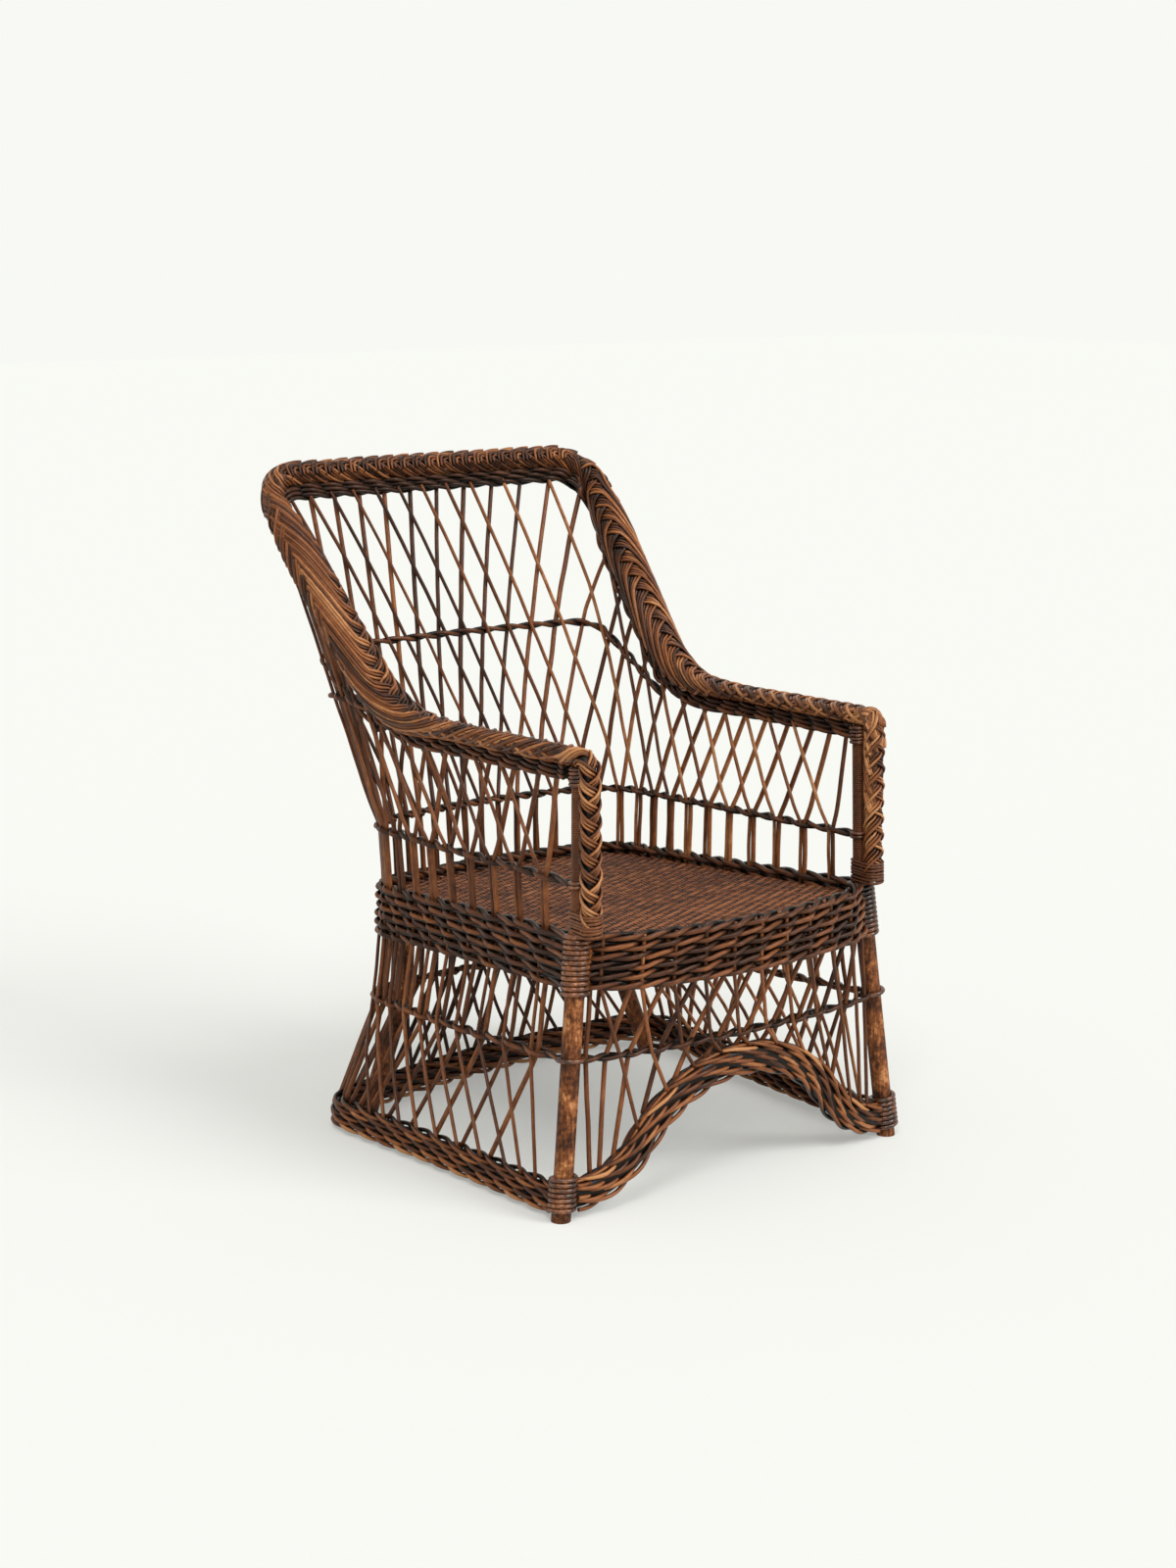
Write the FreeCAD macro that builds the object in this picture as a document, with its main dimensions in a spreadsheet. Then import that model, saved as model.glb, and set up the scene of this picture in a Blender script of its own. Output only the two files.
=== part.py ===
import FreeCAD, Part
import math
import os
from FreeCAD import Placement, Rotation, Vector

# A woven willow and rattan armchair, in millimetres, with +Z up.
# The front faces -Y, and left is the -X side, as seen from the front.
# Heights are taken from the floor and depths (names in _y) from the front feet towards the back.

SIZES = {
    # poles
    "leg_diameter": 27,
    "front_foot_half": 299,
    "leg_top_half": 254,
    "leg_top_y": 20,
    "leg_top_height": 392,
    "post_diameter": 16,
    "post_top_half": 250,
    "post_top_y": 24,
    "post_wrap": 1.5,
    "tenon_diameter": 11,
    "tenon_length": 25,
    # rim line, at the middle of the plaited border
    "arm_height": 628,
    "arm_front_half": 254,
    "arm_front_y": 14,
    "bend_half": 264,
    "bend_y": 447,
    "bend_height": 619,
    "bend_radius": 170,
    "crest_half": 302,
    "crest_y": 738,
    "crest_height": 944,
    "crest_bow": 12,
    "crest_radius": 60,
    "arm_braid_width": 42,
    "arm_braid_height": 24,
    "crest_braid_depth": 28,
    "crest_braid_height": 42,
    "plait_width": 38,
    "plait_depth": 22,
    "plait_rise": 13,
    "plait_bend": 14,
    # woven rows: line round the sides and back
    "foot_corner_half": 330,
    "foot_corner_y": 566,
    "foot_centre_y": 604,
    "foot_corner_radius": 60,
    "foot_bulge": -5,
    "foot_rack": 28,
    "skirt_height": 218,
    "skirt_corner_half": 242,
    "skirt_corner_y": 568,
    "skirt_centre_y": 604,
    "skirt_corner_radius": 75,
    "skirt_bulge": 12,
    "band_depth": 66,
    "band_corner_half": 236,
    "band_corner_y": 566,
    "band_centre_y": 602,
    "band_corner_radius": 80,
    "band_bulge": -6,
    "seat_row_drop": 8,
    "seat_row_corner_half": 232,
    "seat_row_corner_y": 566,
    "seat_row_centre_y": 604,
    "seat_row_corner_radius": 80,
    "seat_row_bulge": -4,
    "arm_rail_rise": 63,
    "arm_rail_corner_half": 236,
    "arm_rail_corner_y": 570,
    "arm_rail_centre_y": 610,
    "arm_rail_corner_radius": 85,
    "arm_rail_bulge": 0,
    "seat_slope": 0.066,
    "arm_rail_slope": 0.028,
    "band_rows": 6,
    "row_diameter": 6.5,
    "binder_pitch": 11,
    "binder_gap": 2.4,
    "binder_stagger": 7.5,
    "back_rail_share": 0.5,
    "wing_row_share": 0.34,
    # front of the seat and skirt
    "front_band_end_y": -2,
    "front_band_bow": 49,
    "front_skirt_end_y": 2,
    "front_skirt_bow": 24,
    "arch_apex": 177,
    "arch_foot": 31,
    "arch_run": 285,
    "arch_apex_share": 0.6,
    "arch_end_y": 0,
    "arch_bow": 20,
    "arch_width": 46,
    "arch_depth": 28,
    "border_width": 34,
    "border_height": 38,
    "border_lift": 7,
    # stakes
    "stout_stake": 7,
    "fine_stake": 5.5,
    "stake_bend": 25,
    "side_stout_lean": 0.12,
    "side_fine_lean": 0.13,
    "side_fine_fan": 0.08,
    "back_stout_lean": 0.055,
    "back_stout_fan": 0.35,
    "back_fine_lean": 0.33,
    "skirt_lean": 1.3,
    "front_lean": 0.8,
    "left_pairs": 10,
    "left_first_pair": 0.15,
    "left_pair_step": 0.125,
    "left_pair_closing": 0.0037,
    "right_pairs": 11,
    "right_first_pair": 0.109,
    "right_pair_step": 0.1125,
    "right_pair_closing": 0.0026,
    "back_pairs": 14,
    "back_first_pair": 0.045,
    "back_pair_step": 0.0575,
    "back_pair_opening": 0.00092,
    "front_pairs": 11,
    # seat
    "seat_drop": 16,
    "seat_thickness": 8,
    "rail_diameter": 16,
    "bearer_diameter": 14,
    "bearer_spacing": 110,
    "side_rail_half": 215,
    "nail_diameter": 3,
    "nail_bite": 20,
    # bindings
    "coil_wire": 6.4,
    "seat_coil_turns": 12,
    "foot_coil_turns": 7,
    "foot_coil_start": 12,
    "binding_wire": 4.5,
    "arm_binding_turns": 5,
    "rail_binding_turns": 2,
    "plait_binding_turns": 3,
    # clearances
    "wire_gap": 0.6,
    "fit": 0.3,
    "stake_gap": 2.2,
    "row_gap": 0.9,
}

LEFT, RIGHT = -1, 1
SIDE_NAMES = {LEFT: "left", RIGHT: "right"}
OUTER, INNER = 1, -1
UP = Vector(0, 0, 1)
SAMPLES = 1201
LONG_BEND = 5000

doc = FreeCAD.newDocument("wicker_armchair")
sheet = doc.addObject("Spreadsheet::Sheet", "Sizes")
for line, (alias, value) in enumerate(SIZES.items(), 1):
    sheet.set(f"A{line}", alias)
    sheet.set(f"B{line}", str(value))
    sheet.setAlias(f"B{line}", alias)
doc.recompute()

nodes = {}


def size(alias):
    return float(sheet.get(alias))


def count(alias):
    return int(round(size(alias)))


FIT = size("fit")
LEG_RADIUS = size("leg_diameter") / 2
SLEEVE_RADIUS = size("post_diameter") / 2 + size("post_wrap")
COIL_RADIUS = LEG_RADIUS + FIT + size("coil_wire")
BINDING_RADIUS = SLEEVE_RADIUS + FIT + size("binding_wire")
STAKES_HALF = (size("stout_stake") + size("fine_stake") + size("stake_gap")) / 2
ROW_RADIUS = size("row_diameter") / 2
ROW_OFFSET = STAKES_HALF + size("row_gap") + ROW_RADIUS
WALL_HALF = ROW_OFFSET + ROW_RADIUS
POST_TOP = size("arm_height") - size("arm_braid_height") / 2 - FIT
SEAT_HEIGHT = size("leg_top_height") - size("seat_drop")
SEAT_ROW_HEIGHT = size("leg_top_height") - size("seat_row_drop")
BAND_HEIGHT = SEAT_ROW_HEIGHT - size("band_depth")
ARM_RAIL_HEIGHT = size("leg_top_height") + size("arm_rail_rise")
PLAIT_BOTTOM = size("leg_top_height") + size("plait_rise")
PAIR_HALF = (size("stout_stake") + size("fine_stake")) / 4
BORDER_TOP = size("border_lift") + size("border_height")


# Objects of the document


def add_shape(label, shape):
    feature = doc.addObject("Part::Feature", label)
    feature.Shape = shape
    nodes[label] = feature
    return feature


def add_group(label, shapes):
    return add_shape(label, Part.makeCompound(shapes))


def pole(label, start, end, diameter):
    """A straight pole between two points; diameter is an expression in the sheet's names."""
    feature = doc.addObject("Part::Cylinder", label)
    feature.setExpression("Radius", f"({diameter}) / 2")
    feature.Height = (end - start).Length
    feature.Placement = Placement(start, Rotation(UP, end - start))
    return feature


def cut(label, base, tools):
    """Part::Cut of a base by one or more tools, in turn."""
    for index, tool in enumerate(tools):
        feature = doc.addObject("Part::Cut", f"{label}_cut_{index}")
        feature.Base = base
        feature.Tool = tool
        base = feature
    base.Label = label
    nodes[label] = base
    return base


# Lines and solids


def rounded_wire(points, radii):
    """Straight runs through the points, with tangent arcs of the given radii at the inner points."""
    edges = []
    start = points[0]
    last_corner = len(points) - 2
    for index, radius in zip(range(1, len(points) - 1), radii):
        corner = points[index]
        back = points[index - 1] - corner
        ahead = points[index + 1] - corner
        half = back.getAngle(ahead) / 2
        if half > math.radians(89.9):
            continue
        back_room = back.Length * (0.98 if index == 1 else 0.49)
        ahead_room = ahead.Length * (0.98 if index == last_corner else 0.49)
        reach = min(radius / math.tan(half), back_room, ahead_room)
        back.normalize()
        ahead.normalize()
        bend = reach * math.tan(half)
        inward = (back + ahead).normalize()
        first = corner + back * reach
        last = corner + ahead * reach
        middle = corner + inward * (bend / math.sin(half) - bend)
        edges.append(Part.LineSegment(start, first).toShape())
        edges.append(Part.Arc(first, middle, last).toShape())
        start = last
    edges.append(Part.LineSegment(start, points[-1]).toShape())
    return Part.Wire(edges)


def sweep_round(path, diameter):
    edge = path.Edges[0]
    start = edge.valueAt(edge.FirstParameter)
    circle = Part.Circle(start, edge.tangentAt(edge.FirstParameter), diameter / 2)
    return path.makePipeShell([Part.Wire([circle.toShape()])], True, False)


def tube(points, diameter, bend):
    return sweep_round(rounded_wire(points, [bend] * len(points)), diameter)


def rounded_section(centre, across, upward, half_width, half_height):
    """A rectangle with round corners, as four lines and four arcs."""
    corner = 0.7 * min(half_width, half_height)
    flat_x = half_width - corner
    flat_y = half_height - corner
    nick = corner * (1 - math.sqrt(0.5))

    def at(x, y):
        return centre + across * x + upward * y

    edges = []
    for sx, sy in ((1, 1), (-1, 1), (-1, -1), (1, -1)):
        side = at(sx * half_width, sy * flat_y)
        cap = at(sx * flat_x, sy * half_height)
        middle = at(sx * (half_width - nick), sy * (half_height - nick))
        next_cap = at(-sx * flat_x, sy * half_height)
        next_side = at(sx * half_width, -sy * flat_y)
        if sx == sy:
            edges.append(Part.Arc(side, middle, cap).toShape())
            edges.append(Part.LineSegment(cap, next_cap).toShape())
        else:
            edges.append(Part.Arc(cap, middle, side).toShape())
            edges.append(Part.LineSegment(side, next_side).toShape())
    return Part.Wire(edges)


def bar(points, radii, half_width, half_height):
    """A bar with round corners swept along a path that starts level."""
    path = rounded_wire(points, radii)
    ahead = (points[1] - points[0]).normalize()
    across = ahead.cross(UP).normalize()
    section = rounded_section(points[0], across, across.cross(ahead), half_width, half_height)
    return path.makePipeShell([section], True, False)


# Poles at the front


def leg_axis(side, height):
    share = height / size("leg_top_height")
    half = size("front_foot_half") + (size("leg_top_half") - size("front_foot_half")) * share
    return Vector(side * half, size("leg_top_y") * share, height)


def post_axis(side, height):
    share = (height - size("leg_top_height")) / (POST_TOP - size("leg_top_height"))
    half = size("leg_top_half") + (size("post_top_half") - size("leg_top_half")) * share
    depth = size("leg_top_y") + (size("post_top_y") - size("leg_top_y")) * share
    return Vector(side * half, depth, height)


# Woven rows round the sides and back


class Row:
    """The line of one woven row, from the left front pole round the back to the right front pole."""

    def __init__(self, name, height, slope, pole_axis, rack=0.0):
        self.height = height
        self.slope = slope
        self.pole_axis = pole_axis
        self.rack = rack
        self.corner_half = size(name + "_corner_half")
        self.corner_y = size(name + "_corner_y")
        self.centre_y = size(name + "_centre_y")
        self.radius = size(name + "_corner_radius")
        self.bulge = size(name + "_bulge")
        whole = rounded_wire(self.points(0), self.radii(0))
        self.samples = whole.discretize(Number=SAMPLES)
        self.turns = [self.nearest(self.corner(side, 0)) for side in (LEFT, RIGHT)]

    def lower(self, x, y):
        return Vector(x, y, self.height - self.slope * y)

    def front(self, side, offset):
        pole_point = self.pole_axis(side, self.height)
        return self.lower(pole_point.x + side * offset, pole_point.y)

    def corner(self, side, offset):
        return self.lower(side * (self.corner_half + offset), self.corner_y + offset + side * self.rack)

    def middle(self, side, offset):
        between = (self.front(side, offset) + self.corner(side, offset)) / 2
        return self.lower(between.x + side * self.bulge, between.y)

    def centre(self, offset):
        return self.lower(0, self.centre_y + offset)

    def points(self, offset):
        left = [part(LEFT, offset) for part in (self.front, self.middle, self.corner)]
        right = [part(RIGHT, offset) for part in (self.corner, self.middle, self.front)]
        return left + [self.centre(offset)] + right

    def radii(self, offset):
        corner = self.radius + offset
        return [LONG_BEND, corner, LONG_BEND, corner, LONG_BEND]

    def nearest(self, target):
        return min(range(SAMPLES), key=lambda index: (self.samples[index] - target).Length)

    def at(self, u):
        """The point at u: 0 to 1 along the left side, 1 to 2 along the back, 2 to 3 along the right."""
        stops = [0, self.turns[0], self.turns[1], SAMPLES - 1]
        zone = min(max(int(u), 0), 2)
        place = stops[zone] + (u - zone) * (stops[zone + 1] - stops[zone])
        place = min(max(place, 0), SAMPLES - 1.001)
        index = int(place)
        return self.samples[index] + (self.samples[index + 1] - self.samples[index]) * (place - index)

    def split(self, side, offset):
        """Where the side's straight run ends, just before the corner's arc."""
        corner = self.corner(side, offset)
        middle = self.middle(side, offset)
        towards_back = self.centre(offset) - corner
        half = (middle - corner).getAngle(towards_back) / 2
        reach = (self.radius + offset) / math.tan(half) + 1
        return corner + (middle - corner).normalize() * reach

    def side_strand(self, side, offset, stop):
        """The strand along one side, from just clear of a pole of radius stop."""
        front = self.front(side, offset)
        middle = self.middle(side, offset)
        near = max(abs(offset) - ROW_RADIUS, 0)
        start = front + (middle - front).normalize() * (math.sqrt(stop**2 - near**2) + 3 * FIT)
        return tube([start, middle, self.split(side, offset)], size("row_diameter"), LONG_BEND)

    def back_strand(self, offset):
        corner = self.radius + offset
        points = [
            self.split(LEFT, offset),
            self.corner(LEFT, offset),
            self.centre(offset),
            self.corner(RIGHT, offset),
            self.split(RIGHT, offset),
        ]
        path = rounded_wire(points, [corner, LONG_BEND, corner])
        return sweep_round(path, size("row_diameter"))


def outward(row, u):
    step = 0.01
    along = row.at(u + step) - row.at(u - step)
    return UP.cross(along).normalize()


def band_row(level):
    """One row of the seat band; level 0 is its lowest row and 1 the row at the seat."""
    low = Row("band", BAND_HEIGHT, size("seat_slope"), leg_axis)
    high = Row("seat_row", SEAT_ROW_HEIGHT, size("seat_slope"), leg_axis)
    for name in ("height", "corner_half", "corner_y", "centre_y", "radius", "bulge"):
        start = getattr(low, name)
        setattr(low, name, start + (getattr(high, name) - start) * level)
    return low


foot_row = Row("foot", BORDER_TOP, 0.0, leg_axis, size("foot_rack"))
skirt_row = Row("skirt", size("skirt_height"), size("seat_slope"), leg_axis)
low_band_row = Row("band", BAND_HEIGHT, size("seat_slope"), leg_axis)
seat_row = Row("seat_row", SEAT_ROW_HEIGHT, size("seat_slope"), leg_axis)
arm_rail_row = Row("arm_rail", ARM_RAIL_HEIGHT, size("arm_rail_slope"), post_axis)


# Rim line, over the left arm and wing, the crest, and the right wing and arm


def rim_points():
    half = [
        Vector(size("arm_front_half"), size("arm_front_y"), size("arm_height")),
        Vector(size("bend_half"), size("bend_y"), size("bend_height")),
        Vector(size("crest_half"), size("crest_y"), size("crest_height")),
    ]
    left = [Vector(-point.x, point.y, point.z) for point in half]
    return left + [Vector(0, size("crest_y") + size("crest_bow"), size("crest_height"))] + half[::-1]


class Rim:
    """The rim line, with its points matched to those of the arm rail below it."""

    def __init__(self):
        bend = size("bend_radius")
        crest = size("crest_radius")
        points = rim_points()
        wire = rounded_wire(points, [bend, crest, LONG_BEND, crest, bend])
        self.samples = wire.discretize(Number=SAMPLES)
        self.length = wire.Length
        corner = min(range(SAMPLES), key=lambda index: (self.samples[index] - points[2]).Length)
        self.wing = corner / (SAMPLES - 1)
        side = (arm_rail_row.at(1) - arm_rail_row.at(0)).Length
        self.arm_share = side / (self.wing * self.length)

    def run(self, u):
        """Share of the rim's length at u, which is counted as on the arm rail."""
        if u > 1.5:
            return 1 - self.run(3 - u)
        if u > 1:
            return self.wing + (u - 1) * (1 - 2 * self.wing)
        fanned = max(u, 0)
        return self.wing * (self.arm_share * fanned + (1 - self.arm_share) * fanned**9)

    def place(self, run):
        """The u at a share of the rim's length."""
        low, high = 0.0, 3.0
        for _ in range(40):
            middle = (low + high) / 2
            if self.run(middle) < run:
                low = middle
            else:
                high = middle
        return low

    def at(self, u):
        place = min(max(self.run(u) * (SAMPLES - 1), 0), SAMPLES - 1.001)
        index = int(place)
        return self.samples[index] + (self.samples[index + 1] - self.samples[index]) * (place - index)

    def roll(self, u):
        """0 where the border lies flat on the arms, 1 where it stands along the crest."""
        run = min(self.run(u), 1 - self.run(u)) / self.wing
        share = min(max((run - 0.45) / 0.45, 0), 1)
        return share * share * (3 - 2 * share)

    def half_height(self, u):
        low = size("arm_braid_height")
        return (low + (size("crest_braid_height") - low) * self.roll(u)) / 2

    def half_width(self, u):
        wide = size("arm_braid_width")
        return (wide + (size("crest_braid_depth") - wide) * self.roll(u)) / 2


rim = Rim()


def wall_frame(u):
    """Directions of the wall above the arm rail at u: along the rim, up the wall and outward."""
    step = 0.004
    along = (rim.at(u + step) - rim.at(u - step)).normalize()
    upward = rim.at(u) - arm_rail_row.at(u)
    out = upward.cross(along).normalize()
    return along, along.cross(out).normalize(), out


def wall_point(u, share, offset):
    """A point of the wall between the arm rail (share 0) and the rim (share 1)."""
    low = arm_rail_row.at(u)
    high = rim.at(u)
    step = 0.01
    ahead = arm_rail_row.at(u + step) * (1 - share) + rim.at(u + step) * share
    behind = arm_rail_row.at(u - step) * (1 - share) + rim.at(u - step) * share
    out = (high - low).cross(ahead - behind).normalize()
    return low + (high - low) * share + out * offset


def share_under_rim(u, drop):
    """Share of the wall's height at a drop below the plaited border's lower face."""
    upright = rim.at(u) - arm_rail_row.at(u)
    along = wall_frame(u)[0]
    return 1 - (rim.half_height(u) + drop) / upright.cross(along).Length


def under_rim(u, drop, offset):
    """A point of the wall a drop below the plaited border's lower face."""
    return wall_point(u, share_under_rim(u, drop), offset)


def rim_section(u):
    along, upward, out = wall_frame(u)
    return rounded_section(rim.at(u), out, upward, rim.half_width(u), rim.half_height(u))


def steps(first, last, number):
    return [first + (last - first) * index / number for index in range(number + 1)]


# Front poles, arm posts and their wrapping

floor = doc.addObject("Part::Box", "floor_cutter")
floor.Length = 4 * size("front_foot_half")
floor.Width = 4 * size("crest_y")
floor.Height = 4 * size("leg_diameter")
floor.Placement = Placement(
    Vector(-floor.Length.Value / 2, -floor.Width.Value / 2, -floor.Height.Value), Rotation()
)


def seat_drop(y):
    """Height of the seat panel's lower face."""
    return SEAT_HEIGHT - size("seat_thickness") - size("seat_slope") * y


def rail_level(x, y):
    """A point on the axis of a pole that lies under the seat panel."""
    return Vector(x, y, seat_drop(y) - size("rail_diameter") / 2 - FIT)


BAND_BOW = (size("front_band_end_y"), size("front_band_bow"))
SKIRT_BOW = (size("front_skirt_end_y"), size("front_skirt_bow"))


def bow_y(x, half, end_y, bow, offset):
    """Depth at x of a bowed line that passes end_y at half either way, moved forward by offset."""
    radius = (half**2 + bow**2) / (2 * bow)
    return end_y - bow + radius - math.sqrt((radius + offset) ** 2 - x**2)


rail_height = rail_level(0, size("leg_top_y")).z
rail_half = leg_axis(RIGHT, rail_height).x
rail_inset = -(WALL_HALF + size("rail_diameter") / 2 + FIT)


def front_rail_point(x):
    return rail_level(x, bow_y(x, rail_half, *BAND_BOW, rail_inset))


front_rail_arc = Part.Arc(*[front_rail_point(x) for x in (-rail_half, 0, rail_half)]).toShape()


def back_leg_points(side):
    """Foot, knee at the skirt rail and top of a back leg, inside the wall's corner."""

    def in_corner(row, inset):
        corner = row.corner(side, 0)
        diagonal = math.sqrt(0.5) * (row.radius - inset) - row.radius
        return Vector(corner.x + side * diagonal, corner.y + diagonal, corner.z)

    foot = in_corner(foot_row, size("border_width") / 2 + LEG_RADIUS + 3 * FIT)
    knee = in_corner(skirt_row, WALL_HALF + LEG_RADIUS + 3 * FIT)
    top = in_corner(low_band_row, WALL_HALF + LEG_RADIUS + 3 * FIT)
    foot = Vector(foot.x, foot.y, 0)
    slant = math.hypot(top.x - knee.x, top.y - knee.y) / (top.z - knee.z)
    top = Vector(top.x, top.y, seat_drop(top.y) - FIT - (size("seat_slope") + slant) * LEG_RADIUS)
    return foot, knee, top


def back_rail_end(side):
    top = back_leg_points(side)[2]
    return rail_level(top.x, top.y)


def side_rail_start(side):
    return front_rail_point(side * size("side_rail_half"))


def nail_line(start, inward, radius):
    """Nail through a pole of a radius into the end of the next: its head is flush in the outer face."""
    return start - inward * (radius - FIT), start + inward * (radius + size("nail_bite"))


nail_lines = []
for side in (LEFT, RIGHT):
    start = side_rail_start(side)
    towards_back = (back_rail_end(side) - start).normalize()
    nail_lines.append(nail_line(start, towards_back, size("rail_diameter") / 2))
    nail_lines.append(nail_line(back_rail_end(side), Vector(-side, 0, 0), LEG_RADIUS))
nails = [pole(f"nail_{index}", *ends, "Sizes.nail_diameter") for index, ends in enumerate(nail_lines)]
nail_holes = [
    pole(f"nail_hole_{index}", *ends, "Sizes.nail_diameter + Sizes.fit")
    for index, ends in enumerate(nail_lines)
]
nail_group = doc.addObject("Part::Compound", "frame_nails")
nail_group.Links = nails
nodes["frame_nails"] = nail_group

leg_gauges = []
for index, side in enumerate((LEFT, RIGHT)):
    name = SIDE_NAMES[side]
    foot = leg_axis(side, -size("leg_diameter"))
    top = leg_axis(side, size("leg_top_height"))
    post_top = post_axis(side, POST_TOP)
    post_line = (post_top - top).normalize()
    tenon_foot = top - post_line * size("tenon_length")
    socket = pole(
        f"{name}_post_socket",
        tenon_foot - post_line * FIT,
        post_top,
        "Sizes.tenon_diameter + Sizes.fit",
    )
    leg = pole(f"front_{name}_pole", foot, top, "Sizes.leg_diameter")
    cut(f"front_{name}_leg", leg, [floor, socket])
    coil_gauge = "Sizes.leg_diameter + 2 * Sizes.coil_wire + 6 * Sizes.fit"
    leg_gauges.append(pole(f"front_{name}_leg_gauge", foot, top, coil_gauge))

    seat_of_post = top + post_line * (4 * FIT)
    shaft = pole(f"{name}_post_shaft", seat_of_post, post_top, "Sizes.post_diameter")
    tenon = pole(f"{name}_post_tenon", tenon_foot, seat_of_post + post_line, "Sizes.tenon_diameter")
    post = doc.addObject("Part::Fuse", f"{name}_arm_post")
    post.Base = shaft
    post.Tool = tenon
    nodes[f"{name}_arm_post"] = post

    wrap_start = seat_of_post + post_line * (size("leg_top_y") / 2)
    sleeve = pole(
        f"{name}_wrap_outer", wrap_start, post_top, "Sizes.post_diameter + 2 * Sizes.post_wrap"
    )
    bore = pole(f"{name}_wrap_bore", seat_of_post, post_top + post_line, "Sizes.post_diameter + 0.2 * Sizes.fit")
    cut(f"{name}_post_wrap", sleeve, [bore])

# Back legs, bent at the skirt rail

for index, side in enumerate((LEFT, RIGHT)):
    name = SIDE_NAMES[side]
    foot, knee, top = back_leg_points(side)
    below = foot - (knee - foot).normalize() * size("leg_diameter")
    blank = doc.addObject("Part::Feature", f"back_{name}_pole")
    blank.Shape = tube([below, knee, top], size("leg_diameter"), 8 * size("leg_diameter"))
    cut(f"back_{name}_leg", blank, [floor, nail_holes[2 * index + 1]])
    gauge = doc.addObject("Part::Feature", f"back_{name}_leg_gauge")
    gauge.Shape = tube([below, knee, top + UP], size("leg_diameter") + 2 * FIT, 8 * size("leg_diameter"))
    leg_gauges.append(gauge)

# Seat frame: a bowed front rail, a back rail, side rails and bearers, with coped ends

front_rail_blank = doc.addObject("Part::Feature", "front_seat_rail_blank")
front_rail_blank.Shape = sweep_round(Part.Wire([front_rail_arc]), size("rail_diameter"))
cut("front_seat_rail", front_rail_blank, leg_gauges[:2] + [nail_holes[0], nail_holes[2]])
front_gauge = doc.addObject("Part::Feature", "front_seat_rail_gauge")
front_gauge.Shape = sweep_round(Part.Wire([front_rail_arc]), size("rail_diameter") + 2 * FIT)

back_ends = [back_rail_end(LEFT), back_rail_end(RIGHT)]
back_rail_blank = pole("back_seat_rail_blank", *back_ends, "Sizes.rail_diameter")
cut("back_seat_rail", back_rail_blank, leg_gauges[2:] + [nail_holes[1], nail_holes[3]])
back_gauge = pole("back_seat_rail_gauge", *back_ends, "Sizes.rail_diameter + 2 * Sizes.fit")


for index, side in enumerate((LEFT, RIGHT)):
    name = SIDE_NAMES[side]
    ends = (side_rail_start(side), back_rail_end(side))
    blank = pole(f"{name}_seat_rail_blank", *ends, "Sizes.rail_diameter")
    cut(f"{name}_seat_rail", blank, [front_gauge, leg_gauges[2 + index], back_gauge, nail_holes[2 * index]])

bearers = []
for place in (-1, 0, 1):
    x = place * size("bearer_spacing")
    back = back_ends[0] + (back_ends[1] - back_ends[0]) * (0.5 + x / (back_ends[1] - back_ends[0]).Length)
    blank = pole(f"bearer_blank_{place + 1}", front_rail_point(x), back, "Sizes.bearer_diameter")
    bearer = cut(f"bearer_{place + 1}", blank, [front_gauge, back_gauge])
    nodes.pop(f"bearer_{place + 1}")
    bearers.append(bearer)
bearer_group = doc.addObject("Part::Compound", "seat_bearers")
bearer_group.Links = bearers
nodes["seat_bearers"] = bearer_group

# Front rows: bowed arcs between the legs


def front_point(x, height, bow, offset):
    """A point of the front wall's bowed line at a height, moved forward by offset."""
    return Vector(x, bow_y(x, leg_axis(RIGHT, height).x, *bow, offset), height)


def front_strand(height, bow, offset):
    """A row's strand across the front, from coil to coil."""
    leg = leg_axis(RIGHT, height)
    near = max(abs(leg.y - front_point(leg.x, height, bow, offset).y) - ROW_RADIUS, 0)
    clear = math.sqrt(max(COIL_RADIUS**2 - near**2, LEG_RADIUS**2))
    half = leg.x - clear - 3 * FIT
    arc = Part.Arc(*[front_point(x, height, bow, offset) for x in (-half, 0, half)])
    return sweep_round(Part.Wire([arc.toShape()]), size("row_diameter"))


levels = steps(0, 1, count("band_rows") - 1)
band_rows = [band_row(level) for level in levels]
for side in (LEFT, RIGHT):
    name = SIDE_NAMES[side]
    strands = [
        row.side_strand(side, face * ROW_OFFSET, COIL_RADIUS) for row in band_rows for face in (OUTER, INNER)
    ]
    add_group(f"{name}_seat_band", strands)
    rail = [arm_rail_row.side_strand(side, face * ROW_OFFSET, BINDING_RADIUS) for face in (OUTER, INNER)]
    add_group(f"{name}_arm_rail", rail)
    skirt = [skirt_row.side_strand(side, face * ROW_OFFSET, COIL_RADIUS) for face in (OUTER, INNER)]
    add_group(f"{name}_skirt_rail", skirt)
add_group("back_seat_band", [row.back_strand(face * ROW_OFFSET) for row in band_rows for face in (OUTER, INNER)])
add_group("back_arm_rail", [arm_rail_row.back_strand(face * ROW_OFFSET) for face in (OUTER, INNER)])
add_group("back_skirt_rail", [skirt_row.back_strand(face * ROW_OFFSET) for face in (OUTER, INNER)])

front_heights = [
    BAND_HEIGHT + (SEAT_ROW_HEIGHT - BAND_HEIGHT) * level for level in levels
]
front_band = [
    front_strand(height, BAND_BOW, face * ROW_OFFSET)
    for height in front_heights
    for face in (OUTER, INNER)
]
add_group("front_seat_band", front_band)
front_skirt = [front_strand(size("skirt_height"), SKIRT_BOW, face * ROW_OFFSET) for face in (OUTER, INNER)]
add_group("front_skirt_rail", front_skirt)

# Foot border and the arch at the front

border_middle = size("border_lift") + size("border_height") / 2
border_half = (size("border_width") / 2, size("border_height") / 2)


def border_level(point):
    return Vector(point.x, point.y, border_middle)


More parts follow.
